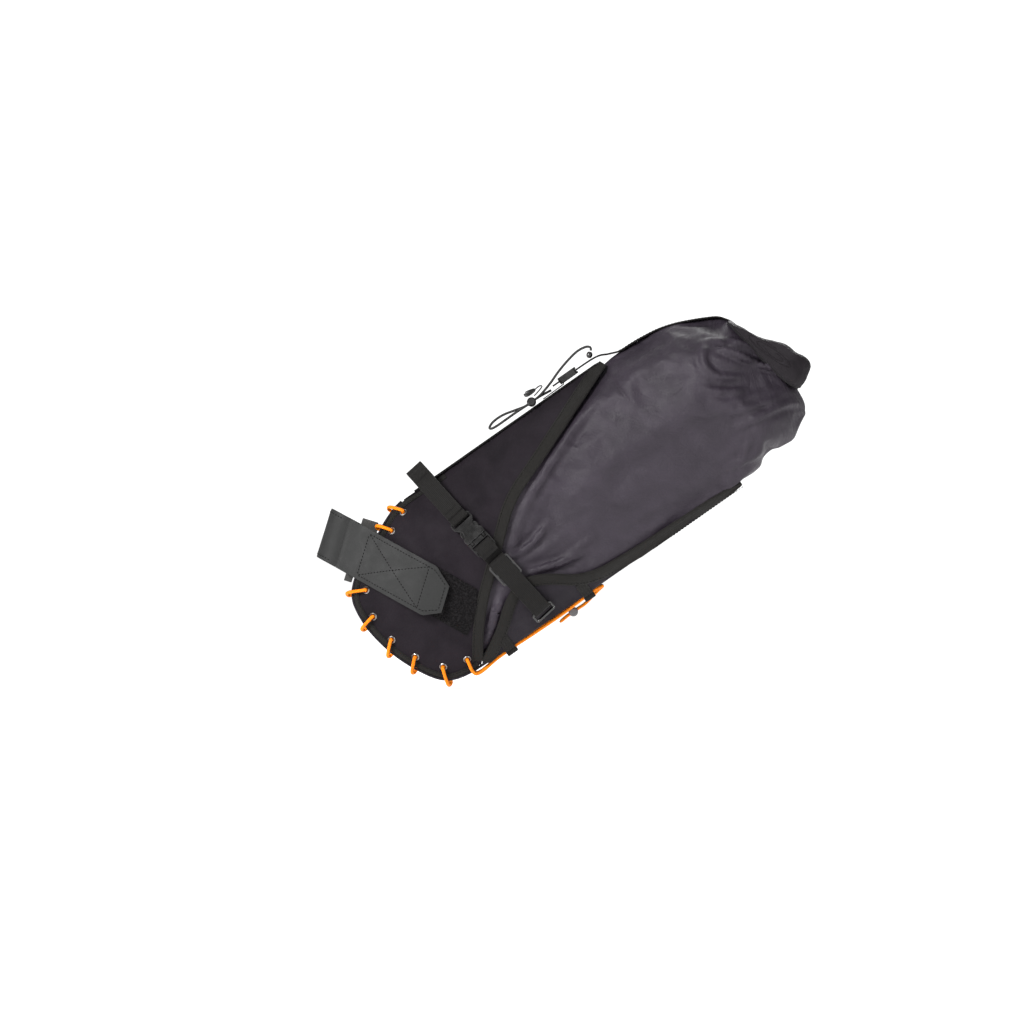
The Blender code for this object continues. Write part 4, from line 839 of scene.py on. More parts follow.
def nose_rim():
    """The side panel's outline round the nose, from its foot up to the ridge."""
    ring = [Vector(p) for p in FINE_NOSE]
    rim = []
    for k in range(1, len(ring) - 1):
        ahead = (ring[k + 1] - ring[k - 1]).normalized()
        rim.append(ring[k] + Vector((ahead.y, -ahead.x)) * -EDGE_INSET)
    low_end = mouth_line[-1].x
    kept = [(p.x, p.y, 0) for p in rim if not (p.y < CENTRE_B and p.x > low_end - 4)]
    return resample(kept, 3.5)


rim_line = nose_rim()
foot = Vector((mouth_line[-1].x - 3, BOTTOM_B + EDGE_INSET, 0))
ridge_edge = [Vector((a, RIDGE_B + 0.7, 0)) for a in range(80, 330, 5)]
panel_loop = [(p.x, p.y) for p in mouth_line + [foot] + rim_line[::-1] + ridge_edge]


def hole(centre, radius, sides=16):
    """A round hole's outline."""
    turns = [2 * math.pi * (k + 0.5) / sides for k in range(sides)]
    return [(centre[0] + radius * math.cos(t), centre[1] + radius * math.sin(t)) for t in turns]


def into_panel(edge, k):
    """The direction from a point of an edge into its panel."""
    ahead = direction(edge, k)
    return Vector((ahead.y, -ahead.x, 0))


def binding(name, edge, place, wide, inner=8.0, fade=0):
    """Tape folded over an edge: a section carried along it, in (distance inside the edge, lift).

    It narrows over its last few points, as many as fade says.
    """
    section = [(wide, -0.4), (wide, BINDING_T * 0.75), (wide - 0.6, BINDING_T)]
    section += [(wide * 0.5, BINDING_T + 0.12), (0.8, BINDING_T), (-0.8, 0.45), (-1.25, -0.5), (-1.3, -1.2)]
    section += [(-0.8, -2.2), (0.8, -2.75), (inner, -2.75), (inner, -1.4)]
    rows = []
    for k, point in enumerate(edge):
        into = into_panel(edge, k)
        if fade:
            into *= min(1.0, 0.2 + 0.8 * (len(edge) - 1 - k) / fade)
        rows.append([place(point.x + into.x * d, point.y + into.y * d, lift) for d, lift in section])
    return grid_piece(name, rows, LOOK["binding"], smooth=50, slot="webbing")


def seam_line(edge, place, inset):
    """Places and outward directions for stitches on a binding, at an inset from its edge."""
    line = []
    for k, point in enumerate(edge):
        at = point + into_panel(edge, k) * inset
        spot = place(at.x, at.y, BINDING_T)
        line.append((spot, (place(at.x, at.y, BINDING_T + 1.0) - spot).normalized()))
    return line


def side_panels():
    """Both side panels with their bindings and stitches."""
    holes = [hole(spot, BARREL_R + 0.5) for spot in EYELETS]
    for side, word in SIDES:
        place = panel_place(side)
        panel = sheet_mesh(f"panel_{word}", panel_loop, holes, place, PANEL_T, LOOK["panel"], 4.5,
                           replaces=(f"side_panel_{word}",), slot="panel")
        binding(f"mouth_binding_{word}", mouth_line, place, 10.5)
        rim = rim_line[::-1]
        binding(f"rim_binding_{word}", rim, place, 4.6, inner=4.0)
        lines = [seam_line(mouth_line, place, 8.9), seam_line(rim, place, 3.6)]
        stitches(f"panel_stitches_{word}", lines, LOOK["thread"], slot="webbing", radius=0.45)


side_panels()


def spine():
    """The outline round the nose and along the bottom: points and marks."""
    ring = [Vector((*p, 0)) for p in NOSE]
    start = next(k for k, p in enumerate(ring) if p.x < 84)
    coarse = resample(ring[start:] + [Vector((TAIL_A, BOTTOM_B, 0))], 7.5)
    return coarse, lengths(coarse)


spine_line, spine_marks = spine()


def spine_at(t):
    """A place on the spine and its inward direction."""
    t = min(max(t, 0.0), spine_marks[-1])
    k = 0
    while k < len(spine_marks) - 2 and spine_marks[k + 1] < t:
        k += 1
    share = (t - spine_marks[k]) / (spine_marks[k + 1] - spine_marks[k])
    point = spine_line[k].lerp(spine_line[k + 1], share)
    ahead = (spine_line[k + 1] - spine_line[k]).normalized()
    before = ahead if k == 0 else (spine_line[k] - spine_line[k - 1]).normalized()
    after = ahead if k > len(spine_line) - 3 else (spine_line[k + 2] - spine_line[k + 1]).normalized()
    turned = before.lerp(ahead, 0.5 + share) if share < 0.5 else ahead.lerp(after, share - 0.5)
    turned = turned.normalized()
    return point, Vector((-turned.y, turned.x, 0))


def spine_place(t, q, lift):
    """Distance along the spine, distance across it and lift, to the bag's frame."""
    point, inward = spine_at(t)
    edge = half_width(point.x - inward.x, point.y - inward.y) + SPINE_LIP
    side = -1 if q < 0 else 1
    relief = 0.5 * wave((t, q, 0), 40.0, 9.0) * min(1.0, abs(q) / 30.0)
    if abs(q) <= edge:
        spot = point - inward * (PANEL_T + lift)
        return Vector((spot.x, q, spot.y))
    rise = abs(q) - edge
    b_at = min(BOTTOM_B - PANEL_T + rise, CENTRE_B)
    safe_b = max(b_at, BOTTOM_B + 0.6)
    lift += relief * min(1.0, rise / 12.0)
    on_skin = skin(point.x, safe_b, side, lift)
    return Vector((on_skin.x, on_skin.y, on_skin.z - (safe_b - b_at)))


def spine_holes():
    """The lace holes in the spine, one across from each eyelet."""
    found = []
    for a, b_at in EYELETS:
        k = min(range(len(spine_line)), key=lambda n: (spine_line[n] - Vector((a, b_at, 0))).length)
        edge = half_width(spine_line[k].x, spine_line[k].y)
        found.append((spine_marks[k] + LACE_SHIFT, edge - LACE_HOLE_INSET))
    return found


HOLES = spine_holes()


def base():
    """The spine, floor and tail in one sheet, its wings bound and stitched."""
    wing_from = next(m for p, m in zip(spine_line, spine_marks) if p.x > 46 and p.y < CENTRE_B)
    fine = [spine_marks[-1] * k / 190 for k in range(191)]
    wing = rounded(WING_EDGE)
    up = []
    for mark in fine:
        point, _ = spine_at(mark)
        edge = half_width(point.x, point.y) + SPINE_LIP
        rise = table(wing, point.x) if mark >= wing_from else 0.0
        up.append((mark, edge + rise if rise else edge - 0.2))
    loop = [(m, -q) for m, q in up] + [(m, q) for m, q in reversed(up)]
    holes = []
    for mark, q in HOLES:
        holes += [hole((mark, q), LACE_HOLE_R, 12), hole((mark, -q), LACE_HOLE_R, 12)]
    made = sheet_mesh("base_shell", loop, holes, spine_place, PANEL_T, LOOK["base"], 5.0,
                      replaces=("base_panel",), slot="base")
    edge = resample([(m, q, 0) for m, q in up if m >= wing_from], 4.0)
    for side, word in SIDES:
        def place(t, q, lift):
            """A place on one wing, a little above the sheet."""
            return spine_place(t, side * q, lift + 0.35)
        binding(f"wing_binding_{word}", edge, place, 10.0, fade=9)
        line = seam_line(edge, place, 8.4)
        stitches(f"wing_stitches_{word}", [line], LOOK["thread"], slot="webbing", radius=0.45)


base()


# --- the dry bag ---
def dry_bag_span(a):
    """The dry bag's top and bottom at a place along the bag."""
    if a >= MOUTH_A:
        return smooth_table(BAG_TOP, a), smooth_table(BAG_BOTTOM, a)
    top, low = CENTRE_B, CENTRE_B
    while gauge(a, top) < BAG_GAUGE and top < RIDGE_B:
        top += 0.5
    while gauge(a, low) < BAG_GAUGE and low > BOTTOM_B:
        low -= 0.5
    behind = ease((a - 200) / 130)
    top += (BAG_TOP[0][1] - top) * behind * 0.5
    low += (BAG_BOTTOM[0][1] - low) * behind
    return top, low


def smooth_table(rows, at):
    """A table's value, averaged over a few millimetres so that its corners are soft."""
    return sum(table(rows, at + d) for d in (-3, -1.5, 0, 1.5, 3)) / 5


# creases in the dry bag's sides: (a, b) line, depth, width
CREASES = (
    (((426, -47), (434, -50), (453, -63), (468, -82), (480, -106)), 5.0, 3.0),
    (((433, -52), (422, -56), (415, -68), (419, -84), (430, -92)), 3.6, 4.2),
    (((434, -62), (441, -67), (448, -78), (455, -88), (464, -97)), 7.5, 2.8),
    (((417, -84), (431, -95), (443, -102)), 2.6, 3.2),
    (((459, -98), (466, -104), (472, -111), (479, -120)), 8.0, 2.8),
    (((400, -88), (411, -99), (422, -107), (436, -114)), 4.4, 3.2),
    (((396, -66), (384, -92), (386, -120)), 1.6, 9.0),
    (((480, -160), (462, -149), (441, -146), (412, -143), (398, -138)), 3.0, 3.6),
    (((459, -141), (434, -132), (410, -125)), 2.8, 3.6),
    (((452, -126), (432, -122), (414, -116)), 1.8, 3.6),
    (((432, -178), (399, -175), (362, -166)), 2.4, 4.2),
    (((410, -160), (398, -166), (384, -178)), 2.4, 3.2),
    (((132, -114), (147, -119), (163, -118), (177, -114), (192, -109)), 5.0, 3.4),
    (((140, -137), (150, -143), (162, -147), (178, -152), (204, -157)), 4.6, 3.4),
    (((150, -140), (170, -148), (190, -150), (222, -148)), 2.6, 3.4),
    (((142, -126), (164, -130), (196, -130)), 2.0, 4.0),
    (((150, -108), (172, -96), (196, -84)), 1.6, 6.0),
    (((236, -32), (290, -22), (332, -15)), 2.0, 5.0),
    (((262, -46), (322, -36), (384, -30)), 1.4, 8.0),
    (((311, -177), (280, -174), (246, -171)), 1.8, 5.0),
    (((330, -164), (280, -160), (220, -158)), 1.4, 7.0),
    (((58, -182), (75, -166), (90, -154), (112, -141)), 4.0, 3.6),
    (((70, -184), (90, -168), (112, -152)), 2.4, 3.6),
    (((96, -170), (104, -182)), 1.6, 4.0),
    (((330, -22), (272, -43), (226, -61), (186, -78), (156, -98), (132, -120)), 3.6, 4.5),
    (((60, -182), (86, -162), (112, -144)), 4.0, 12.0),
)
SWELLS = (
    (((414, -34), (322, -72), (246, -128)), 2.6, 26.0),
    (((392, -110), (330, -130), (280, -150)), 1.6, 24.0),
    (((442, -59), (457, -73), (469, -92)), 2.6, 3.4),
    (((424, -64), (421, -76), (428, -88)), 2.6, 5.0),
    (((399, -164), (388, -172), (375, -183)), 2.0, 3.4),
)


def to_line(lines):
    """Lines with their depths and widths, as arrays for crease_field."""
    made = []
    for line, depth, width in lines:
        fine = np.array([(p.x, p.y) for p in resample(chaikin([(*p, 0) for p in line], 2), 3.0)])
        share = np.linspace(0, 1, len(fine))
        fade = np.sin(np.pi * np.clip(share, 0.02, 0.98)) ** 0.6
        made.append((fine, depth, width, fade))
    return made


CREASE_LINES, SWELL_LINES = to_line(CREASES), to_line(SWELLS)


def crease_field(places):
    """How far the dry bag's cloth stands in or out at (a, b) places on its side."""
    lift = np.zeros(len(places))
    for fine, depth, width, fade in CREASE_LINES:
        gaps = fine[None] - places[:, None]
        far = np.hypot(gaps[..., 0], gaps[..., 1])
        k = far.argmin(1)
        near = far[np.arange(len(places)), k]
        step = fine[np.minimum(k + 1, len(fine) - 1)] - fine[np.maximum(k - 1, 0)]
        gap = gaps[np.arange(len(places)), k]
        over = step[:, 0] * gap[:, 1] - step[:, 1] * gap[:, 0] < 0
        x = near / width
        dip = -np.exp(-x * x) + 0.4 * np.exp(-((x - 1.8) ** 2) / 0.6) * np.where(over, 1.0, 0.4)
        lift += depth * fade[k] * np.where(x < 5, dip, 0.0)
    for fine, depth, width, fade in SWELL_LINES:
        gaps = fine[None] - places[:, None]
        far = np.hypot(gaps[..., 0], gaps[..., 1])
        k = far.argmin(1)
        near = far[np.arange(len(places)), k]
        lift += depth * fade[k] * np.exp(-((near / width) ** 2))
    return lift


def covered(a, b_at):
    """How far the holster covers a place on the dry bag's side: 1 under it, 0 in the open."""
    if a > 336:
        return 0.0
    edge = 1e9
    for p in mouth_line[::3]:
        edge = min(edge, math.hypot(p.x - a, p.y - b_at))
    under = inside((a, b_at), panel_loop)
    return 1.0 if under and edge > 6 else (0.7 if under else max(0.0, 0.5 - edge / 24.0))


AROUND = 112


def dry_bag():
    """The stuffed roll-top bag: a lofted skin with creases, then swelled as cloth."""
    places = list(np.arange(NOSE_A + 14.0, 86.0, 8.0)) + list(np.arange(86.0, 330.0, 4.6))
    places += list(np.arange(330.0, 462.0, 3.6)) + list(np.arange(462.0, 484.5, 2.4))
    rows, pins, shadows = [], [], []
    for a in places:
        top, low = dry_bag_span(a)
        row, pin = [], []
        half = AROUND // 2
        for n in range(AROUND):
            side = 1 if n < half else -1
            k = n if n < half else AROUND - 1 - n
            swing = math.pi * (k + 0.5) / half
            b_at = (top + low) / 2 + (top - low) / 2 * math.cos(swing)
            probe = CENTRE_B + (b_at - (top + low) / 2) * BAG_GAUGE * HALF_HEIGHT / max((top - low) / 2, 1)
            level = probe if a > CENTRE_A else b_at
            w = half_width(min(a, 430), level, BAG_GAUGE, narrow_top=True) - BAG_SIDE_GAP
            if a > 400:
                w *= math.sqrt(max(1 - ((a - 400) / 88) ** 2.2, 0.02))
            shadow = covered(a, b_at)
            shadows.append(shadow)
            seed = 0 if side < 0 else 60
            ripple = 0.7 * wave((a, b_at, seed), 30.0, 2.0) + 0.35 * wave((a, b_at, seed), 11.0, 4.0)
            lift = (1 - shadow) * ripple
            end = 1.0 - ease((a - 462) / 22)
            w = max(w + lift * math.sin(swing) ** 0.5 * end, 1.5)
            rise = 0.0
            if a > 340 and k < 5:
                rise = 0.5 + 0.5 * wave((a, 0, seed), 26.0, 6.0)
            row.append(Vector((a, w * side, b_at + rise)))
            pin.append(1.0 if shadow > 0.6 or (k < 2 and a < 460) or a > 476 else min(1.0, shadow * 1.6))
        rows.append(row)
        pins += pin
    made = grid_piece("dry_bag_skin", rows, LOOK["dry"], body=None, smooth=180)
    under = made.vertex_groups.new(name="under")
    for k, value in enumerate(shadows):
        under.add([k], value, "REPLACE")
    swell(made, pins)
    fold(made, under.index)
    finish_piece(made, "dry_bag", ("dry_bag",))
    return made


def fold(made, under):
    """Refines the skin and presses its creases into both sides, but not under the holster."""
    step = made.modifiers.new("smooth", "SUBSURF")
    step.levels = step.render_levels = 1
    shown = made.evaluated_get(bpy.context.evaluated_depsgraph_get())
    made.data = bpy.data.meshes.new_from_object(shown)
    made.modifiers.remove(step)
    to_bag = BAG.inverted()
    places = np.array([to_bag @ v.co for v in made.data.vertices]) / MM
    outward = np.array([to_bag.to_3x3() @ v.normal for v in made.data.vertices])
    open_share = np.ones(len(places))
    for k, vertex in enumerate(made.data.vertices):
        for group in vertex.groups:
            if group.group == under:
                open_share[k] = 1 - group.weight
    sideways = np.clip(np.abs(outward[:, 1]) * 1.6 - 0.1, 0.0, 1.0)
    lift = crease_field(places[:, (0, 2)]) * open_share * sideways
    lift *= np.where(places[:, 1] < 0, 1.0, 0.85)
    for vertex, height in zip(made.data.vertices, lift):
        vertex.co = vertex.co + vertex.normal * float(height * MM)


def swell(made, pins, frames=18, cap=6.0):
    """Swells a skin as slack cloth under pressure, held where pinned, and caps how far it moves."""
    rest = np.array([v.co for v in made.data.vertices])
    group = made.vertex_groups.new(name="pin")
    for k, value in enumerate(pins):
        group.add([k], value, "REPLACE")
    cloth = made.modifiers.new("cloth", "CLOTH")
    settings = cloth.settings
    settings.vertex_group_mass = "pin"
    settings.quality = 6
    settings.mass = 0.25
    settings.use_pressure = True
    settings.uniform_pressure_force = 2.2
    settings.shrink_min = -0.022
    settings.tension_stiffness = settings.compression_stiffness = 25
    settings.shear_stiffness = 12
    settings.bending_stiffness = 1.2
    settings.effector_weights.gravity = 0
    cloth.collision_settings.use_collision = False
    scene = bpy.context.scene
    cloth.point_cache.frame_start, cloth.point_cache.frame_end = 1, frames
    for number in range(1, frames + 1):
        scene.frame_set(number)
    shown = made.evaluated_get(bpy.context.evaluated_depsgraph_get())
    moved = np.array([v.co for v in shown.data.vertices]) - rest
    made.modifiers.remove(cloth)
    scene.frame_set(1)
    far = np.linalg.norm(moved, axis=1, keepdims=True) + 1e-12
    limit = cap * MM
    moved *= np.where(far > limit, limit / far, 1.0)
    for vertex, place, shift, pin in zip(made.data.vertices, rest, moved, pins):
        vertex.co = place + shift * (1.0 - 0.9 * pin)


NOSE_A = min(a for a, _ in NOSE)
dry_bag()


ROLL_OUTLINE = (
    (462, -46), (471, -58), (475, -69), (485, -84), (497, -97), (500, -106), (502, -113), (507.5, -121),
    (508, -132), (501, -137), (493, -142), (482, -146), (473, -126), (466, -90),
)


def roll_top():
    """The bag's mouth, rolled flat and turned down its rear end, with its fabric layers at the ends."""
    ring = [(*spot, 0) for spot in ROLL_OUTLINE + ROLL_OUTLINE[:1]]
    ring = resample(chaikin(ring, 1), 2.2)[:-1]
    centre = sum(ring, Vector()) / len(ring)
    rows = []
    for n in range(45):
        y = -67.6 + 135.2 * n / 44
        end = 1 - 0.16 * ease((abs(y) - 58) / 10)
        row = []
        for k, p in enumerate(ring):
            shift = 1.2 * wave((p.x, y, p.y), 22.0, 8.0) + 0.8 * wave((p.x, y / 3, p.y), 7.0, 3.0)
            out = (p - centre).normalized() * shift
            q = centre + (p - centre) * end + out
            row.append(Vector((q.x, y, q.y)))
        rows.append(row)
    # The rolled mouth and its layer ends wear the dry bag's darker copy of its cloth: painted shade.
    grid_piece("rolled_mouth", rows, LOOK["dry_painted_shade"], body="dry_bag", replaces=("roll_top",),
               slot="dry_bag", smooth=70)
    for side, word in SIDES:
        line = []
        for k in range(40):
            turn = 2 * math.pi * k / 20
            size = 1.0 - 0.6 * k / 39
            p = centre + Vector((9.0 * math.cos(turn) * size * 0.7, 30 * math.sin(turn) * size, 0))
            line.append(Vector((p.x - 0.33 * (p.y - centre.y), side * 66.9, p.y)))
        band(f"roll_layers_{word}", line, (0, 1, 0), 2.4, 0.5, LOOK["dry_painted_shade"], body="dry_bag",
             slot="dry_bag")


roll_top()


# --- eyelets and lacing ---
def eyelets():
    """Both sides' metal eyelets, each with a rolled rim, a barrel and a back washer."""
    top, low = FLANGE_T + GAP, -(PANEL_T + GAP + FLANGE_T)
    profile = [
        (BORE_R, low), (BORE_R, -0.4), (BORE_R, top - 0.35), (BORE_R + 0.25, top), (BORE_R + 0.8, top + 0.15),
        (FLANGE_R - 0.8, top - 0.05), (FLANGE_R - 0.15, top - 0.45), (FLANGE_R, GAP), (BARREL_R, GAP - 0.1),
        (BARREL_R, -(PANEL_T + GAP)), (FLANGE_R - 0.4, -(PANEL_T + GAP)), (FLANGE_R - 0.4, low),
    ]
    count = 32
    for side, word in SIDES:
        points, faces = [], []
        for a, b_at in EYELETS:
            seat = frame_matrix(skin(a, b_at, side), (1, 0, 0), skin_normal(a, b_at, side))
            base_at = len(points)
            for r, z in profile:
                for k in range(count):
                    turn = 2 * math.pi * k / count
                    points.append(seat @ (Vector((r * math.cos(turn), r * math.sin(turn), z)) * MM) / MM)
            for r in range(len(profile)):
                for k in range(count):
                    nxt, r2 = (k + 1) % count, (r + 1) % len(profile)
                    faces.append(tuple(base_at + n for n in (
                        count * r + k, count * r + nxt, count * r2 + nxt, count * r2 + k)))
        names = [f"eyelet_{word}_{n}" for n in range(1, len(EYELETS) + 1)]
        piece(f"eyelets_{word}", points, faces, LOOK["steel"], replaces=names, slot="eyelet", smooth=50)


eyelets()


def lacing():
    """The orange whip lacing down each side, then back under the floor to its cord lock."""
    lane_pair = [LACE_LOCK_Y - slot for slot in lock_slots(LACE_R)]
    for side, word in SIDES:
        points = []
        for n, ((a, b_at), (mark, q)) in enumerate(zip(EYELETS, HOLES)):
            out = skin_normal(a, b_at, side)
            seat = skin(a, b_at, side, 0.0)
            points += [seat - out * (PANEL_T + LACE_R + 2.4), seat, seat + out * (FLANGE_T + 3.2)]
            points.append(spine_place(mark - LACE_SHIFT * 0.4, side * (q + LACE_HOLE_INSET), 3.4))
            points[-1] = points[-1] + Vector((0, side * 3.4, 0))
            if n < len(EYELETS) - 1:
                points += [spine_place(mark, side * q, 3.4), spine_place(mark, side * q, -PANEL_T / 2)]
                points.append(spine_place(mark, side * q, -(PANEL_T + LACE_R + 1.0)))
        run_b = BOTTOM_B - PANEL_T - LACE_R - 0.15
        lane = lane_pair[1] if side < 0 else lane_pair[0]
        tail = [(a, side * (half_width(a, BOTTOM_B) - 7), run_b - 0.6 * math.sin(a / 17.0))
                for a in (64, 74, 90, 112, 146, 173, 189)]
        tail += [(197, side * 19, run_b - 0.4), (198, side * 13 - 3, run_b - 1.0)]
        tail += [(190, side * 6 - 3, run_b - 2.2), (174, lane, LACE_LOCK_B)]
        tail += [(164, lane, LACE_LOCK_B), (150, lane, LACE_LOCK_B)]
        tail.append((140, lane + side * 1.5, LACE_LOCK_B - 1))
        line = smooth_route(points + tail, 1.6)
        tube(f"lace_{word}", line, LACE_R, LOOK["lace"], taper=True, replaces=(f"lacing_{word}",),
             slot="lace")


lacing()


# --- seatpost strap, its tab, the loop patch and the grip pad ---
TURN = Matrix.Rotation(math.radians(-17.0 - 35.0), 3, "Y")
TO_BAG = TURN.inverted()
STRAP_R = POST_R + POST_PLAY + STRAP_T / 2
RAKE = math.tan(math.radians(STRAP_RAKE))


def strap_side_line(side, start=0.0):
    """The strap's run from the post along one side of the bag, as (u, y), seen down the post."""
    line = [(start, side * STRAP_R), (start + 2.0, side * STRAP_R)]
    u = start + 8.0
    while u <= STRAP_TAB_END:
        widest = 0.0
        for share in (-0.5, -0.25, 0.0, 0.25, 0.5):
            spot = TO_BAG @ Vector((u, 0, share * STRAP_W - RAKE * u))
            if gauge(spot.x, spot.z) < 1.25:
                widest = max(widest, half_width(spot.x, spot.z))
        y = min(STRAP_R + (u - start - 2.0) * 0.55, widest + STRAP_LIFT if widest else STRAP_R)
        line.append((u, side * max(y, STRAP_R)))
        u += 8.0
    return line


def strap_point(line, marks, at, v, lift, tip):
    """A place on the strap: distance along it, share across it (-1 to 1) and lift, in the post's frame."""
    at = min(max(at, 0.0), marks[-1])
    k = 0
    while k < len(marks) - 2 and marks[k + 1] < at:
        k += 1
    point = line[k].lerp(line[k + 1], (at - marks[k]) / (marks[k + 1] - marks[k]))
    ahead = (line[min(k + 2, len(line) - 1)] - line[max(k - 1, 0)]).normalized()
    out = Vector((ahead.y, -ahead.x, 0))
    reach = STRAP_W / 2 / math.cos(math.radians(STRAP_RAKE))
    if tip and point.x > STRAP_TAB_END - 22:
        reach *= 1 - 0.55 * (point.x - STRAP_TAB_END + 22) / 22
    ripple = 0.25 * wave((at, v * 26, 3), 24.0, 11.0)
    return point + out * (lift + ripple) + Vector((0, 0, -RAKE * point.x + reach * v)), out


def strap_sheet(name, path, tip, body):
    """The strap as a sheet with softly rounded edges."""
    line = resample(smooth_route([(u, y, 0) for u, y in path], 2.0), 2.5)
    marks = lengths(line)
    columns = 15
    shares = [-1 + 2 * k / (columns - 1) for k in range(columns)]
    lifts = [STRAP_T / 2 * (0.55 if abs(v) > 0.99 else 1.0) for v in shares]
    section = list(zip(shares, lifts)) + [(v, -lift) for v, lift in zip(shares[::-1], lifts[::-1])]
    rows = []
    for mark in marks:
        rows.append([strap_point(line, marks, mark, v, lift, tip)[0] for v, lift in section])
    made = grid_piece(name, rows, LOOK["strap"], matrix=POST, body=body, smooth=60)
    return made, line, marks


def seatpost_strap():
    """The wrap with its far tail, and the near tab, which bends where it peels open."""
    wrap = [(STRAP_R * math.cos(math.radians(90 + 7.5 * k)), STRAP_R * math.sin(math.radians(90 + 7.5 * k)))
            for k in range(25)]
    path = strap_side_line(1)[::-1] + wrap + [(STRAP_FOLD_U, -STRAP_R)]
    made, line, marks = strap_sheet("post_strap", path, False, "root")
    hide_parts("seatpost_strap")
    seams = []
    for v in (-0.86, 0.86):
        seams.append([strap_point(line, marks, m, v, STRAP_T / 2, False) for m in marks[2:-2]])
    stitches("post_strap_stitches", seams, LOOK["thread"], matrix=POST, slot="webbing", radius=0.5)

    tab, line, marks = strap_sheet("post_strap_tab", strap_side_line(-1, STRAP_FOLD_U + GAP), True, None)
    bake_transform(tab)
    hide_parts("seatpost_strap_tab")
    end = marks[-1]
    box_at, box_to = 27.0, end - 26.0

    def row(points):
        """A dense stitch row through places given along and across the tab."""
        dense = resample([(s, v * 26.0, 0) for s, v in points], 2.5)
        return [strap_point(line, marks, p.x, p.y / 26.0, STRAP_T / 2, True) for p in dense]

    rows = [
        row([(box_at, -0.84), (box_at, 0.84)]),
        row([(box_to, -0.84), (box_to, 0.84)]),
        row([(box_at, -0.84), (box_to, 0.84)]),
        row([(box_at, 0.84), (box_to, -0.84)]),
        row([(box_at, 0.84), (end - 24, 0.84), (end - 4, 0.78)]),
        row([(box_at, -0.84), (end - 24, -0.84), (end - 4, -0.78)]),
        row([(end - 4, -0.78), (end - 4, 0.78)]),
    ]
    thread = stitches("tab_stitches", rows, LOOK["thread"], matrix=POST, body=None, length=2.2, radius=0.55)
    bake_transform(thread)


seatpost_strap()


def loop_patch():
    """The band of loop tape on the near panel, with a stitched edge."""
    corners = [(54, -49), (12, -70), (53, -157), (66, -150), (80, -137), (90, -124), (54, -49)]
    ring = resample([(*p, 0) for p in corners], 3.0)[:-1]
    place = panel_place(-1, PATCH_LIFT + LOOP_T - 0.9)

    def napped(a, b_at, lift):
        """The patch's surface, rough on its outer face."""
        return place(a, b_at, lift + (0.3 * wave((a, b_at, 0), 2.2, 3.0) if lift > -0.5 else 0.0))

    sheet_mesh("loop_tape", [(p.x, p.y) for p in ring], [], napped, LOOP_T + 0.6, LOOK["loop"], 2.2,
               replaces=("loop_patch",), slot="loop")
    seam = [(place(p.x, p.y, 0.25), skin_normal(p.x, p.y, -1)) for p in resample(
        [(52, -52, 0), (16, -70, 0), (54, -153, 0)], 3.0)]
    stitches("loop_stitches", [seam], LOOK["thread"], slot="webbing")


loop_patch()


# --- rail straps ---
STRAP_RUN = Vector((STRAP_FOOT[0] - RAIL_A, 0, STRAP_FOOT[1] - RAIL_B)).normalized()
STRAP_ACROSS = Vector((-STRAP_RUN.z, 0, STRAP_RUN.x))


def on_strap(run, lift, side):
    """A point over the side skin, some way down the rail strap from the saddle rail."""
    if run < RAIL_FREE:
        start = Vector((RAIL_A, side * RAIL_Y, RAIL_B))
        end = on_strap(RAIL_FREE, 0.0, side)
        return start.lerp(end, run / RAIL_FREE) + Vector((0, side, 0.6)).normalized() * lift
    return skin(RAIL_A + STRAP_RUN.x * run, RAIL_B + STRAP_RUN.z * run, side, lift)


def hardware_matrix(start, length, lift, side):
    """Places a piece of hardware on the strap: x down the strap, z away from the bag."""
    head, middle, end = (on_strap(start + length * k / 2, lift, side) for k in range(3))
    along = (end - head).normalized()
    out = along.cross(STRAP_ACROSS)
    out = out if out.y * side > 0 else -out
    sag = max(0.0, (middle - (head + end) / 2).dot(out))
    return frame_matrix(head + out * sag, along, out)


def in_frame(matrix, x, z, y=0.0):
    """A point of a piece of hardware's middle plane, in the bag's frame and in millimetres."""
    return matrix @ (Vector((x, y, z)) * MM) / MM


def around(matrix, x, z, radius, start, sweep, steps=10):
    """Points round a bar of a piece of hardware, from one angle through a sweep."""
    turns = [math.radians(start + sweep * k / steps) for k in range(steps + 1)]
    return [in_frame(matrix, x + radius * math.cos(t), z + radius * math.sin(t)) for t in turns]


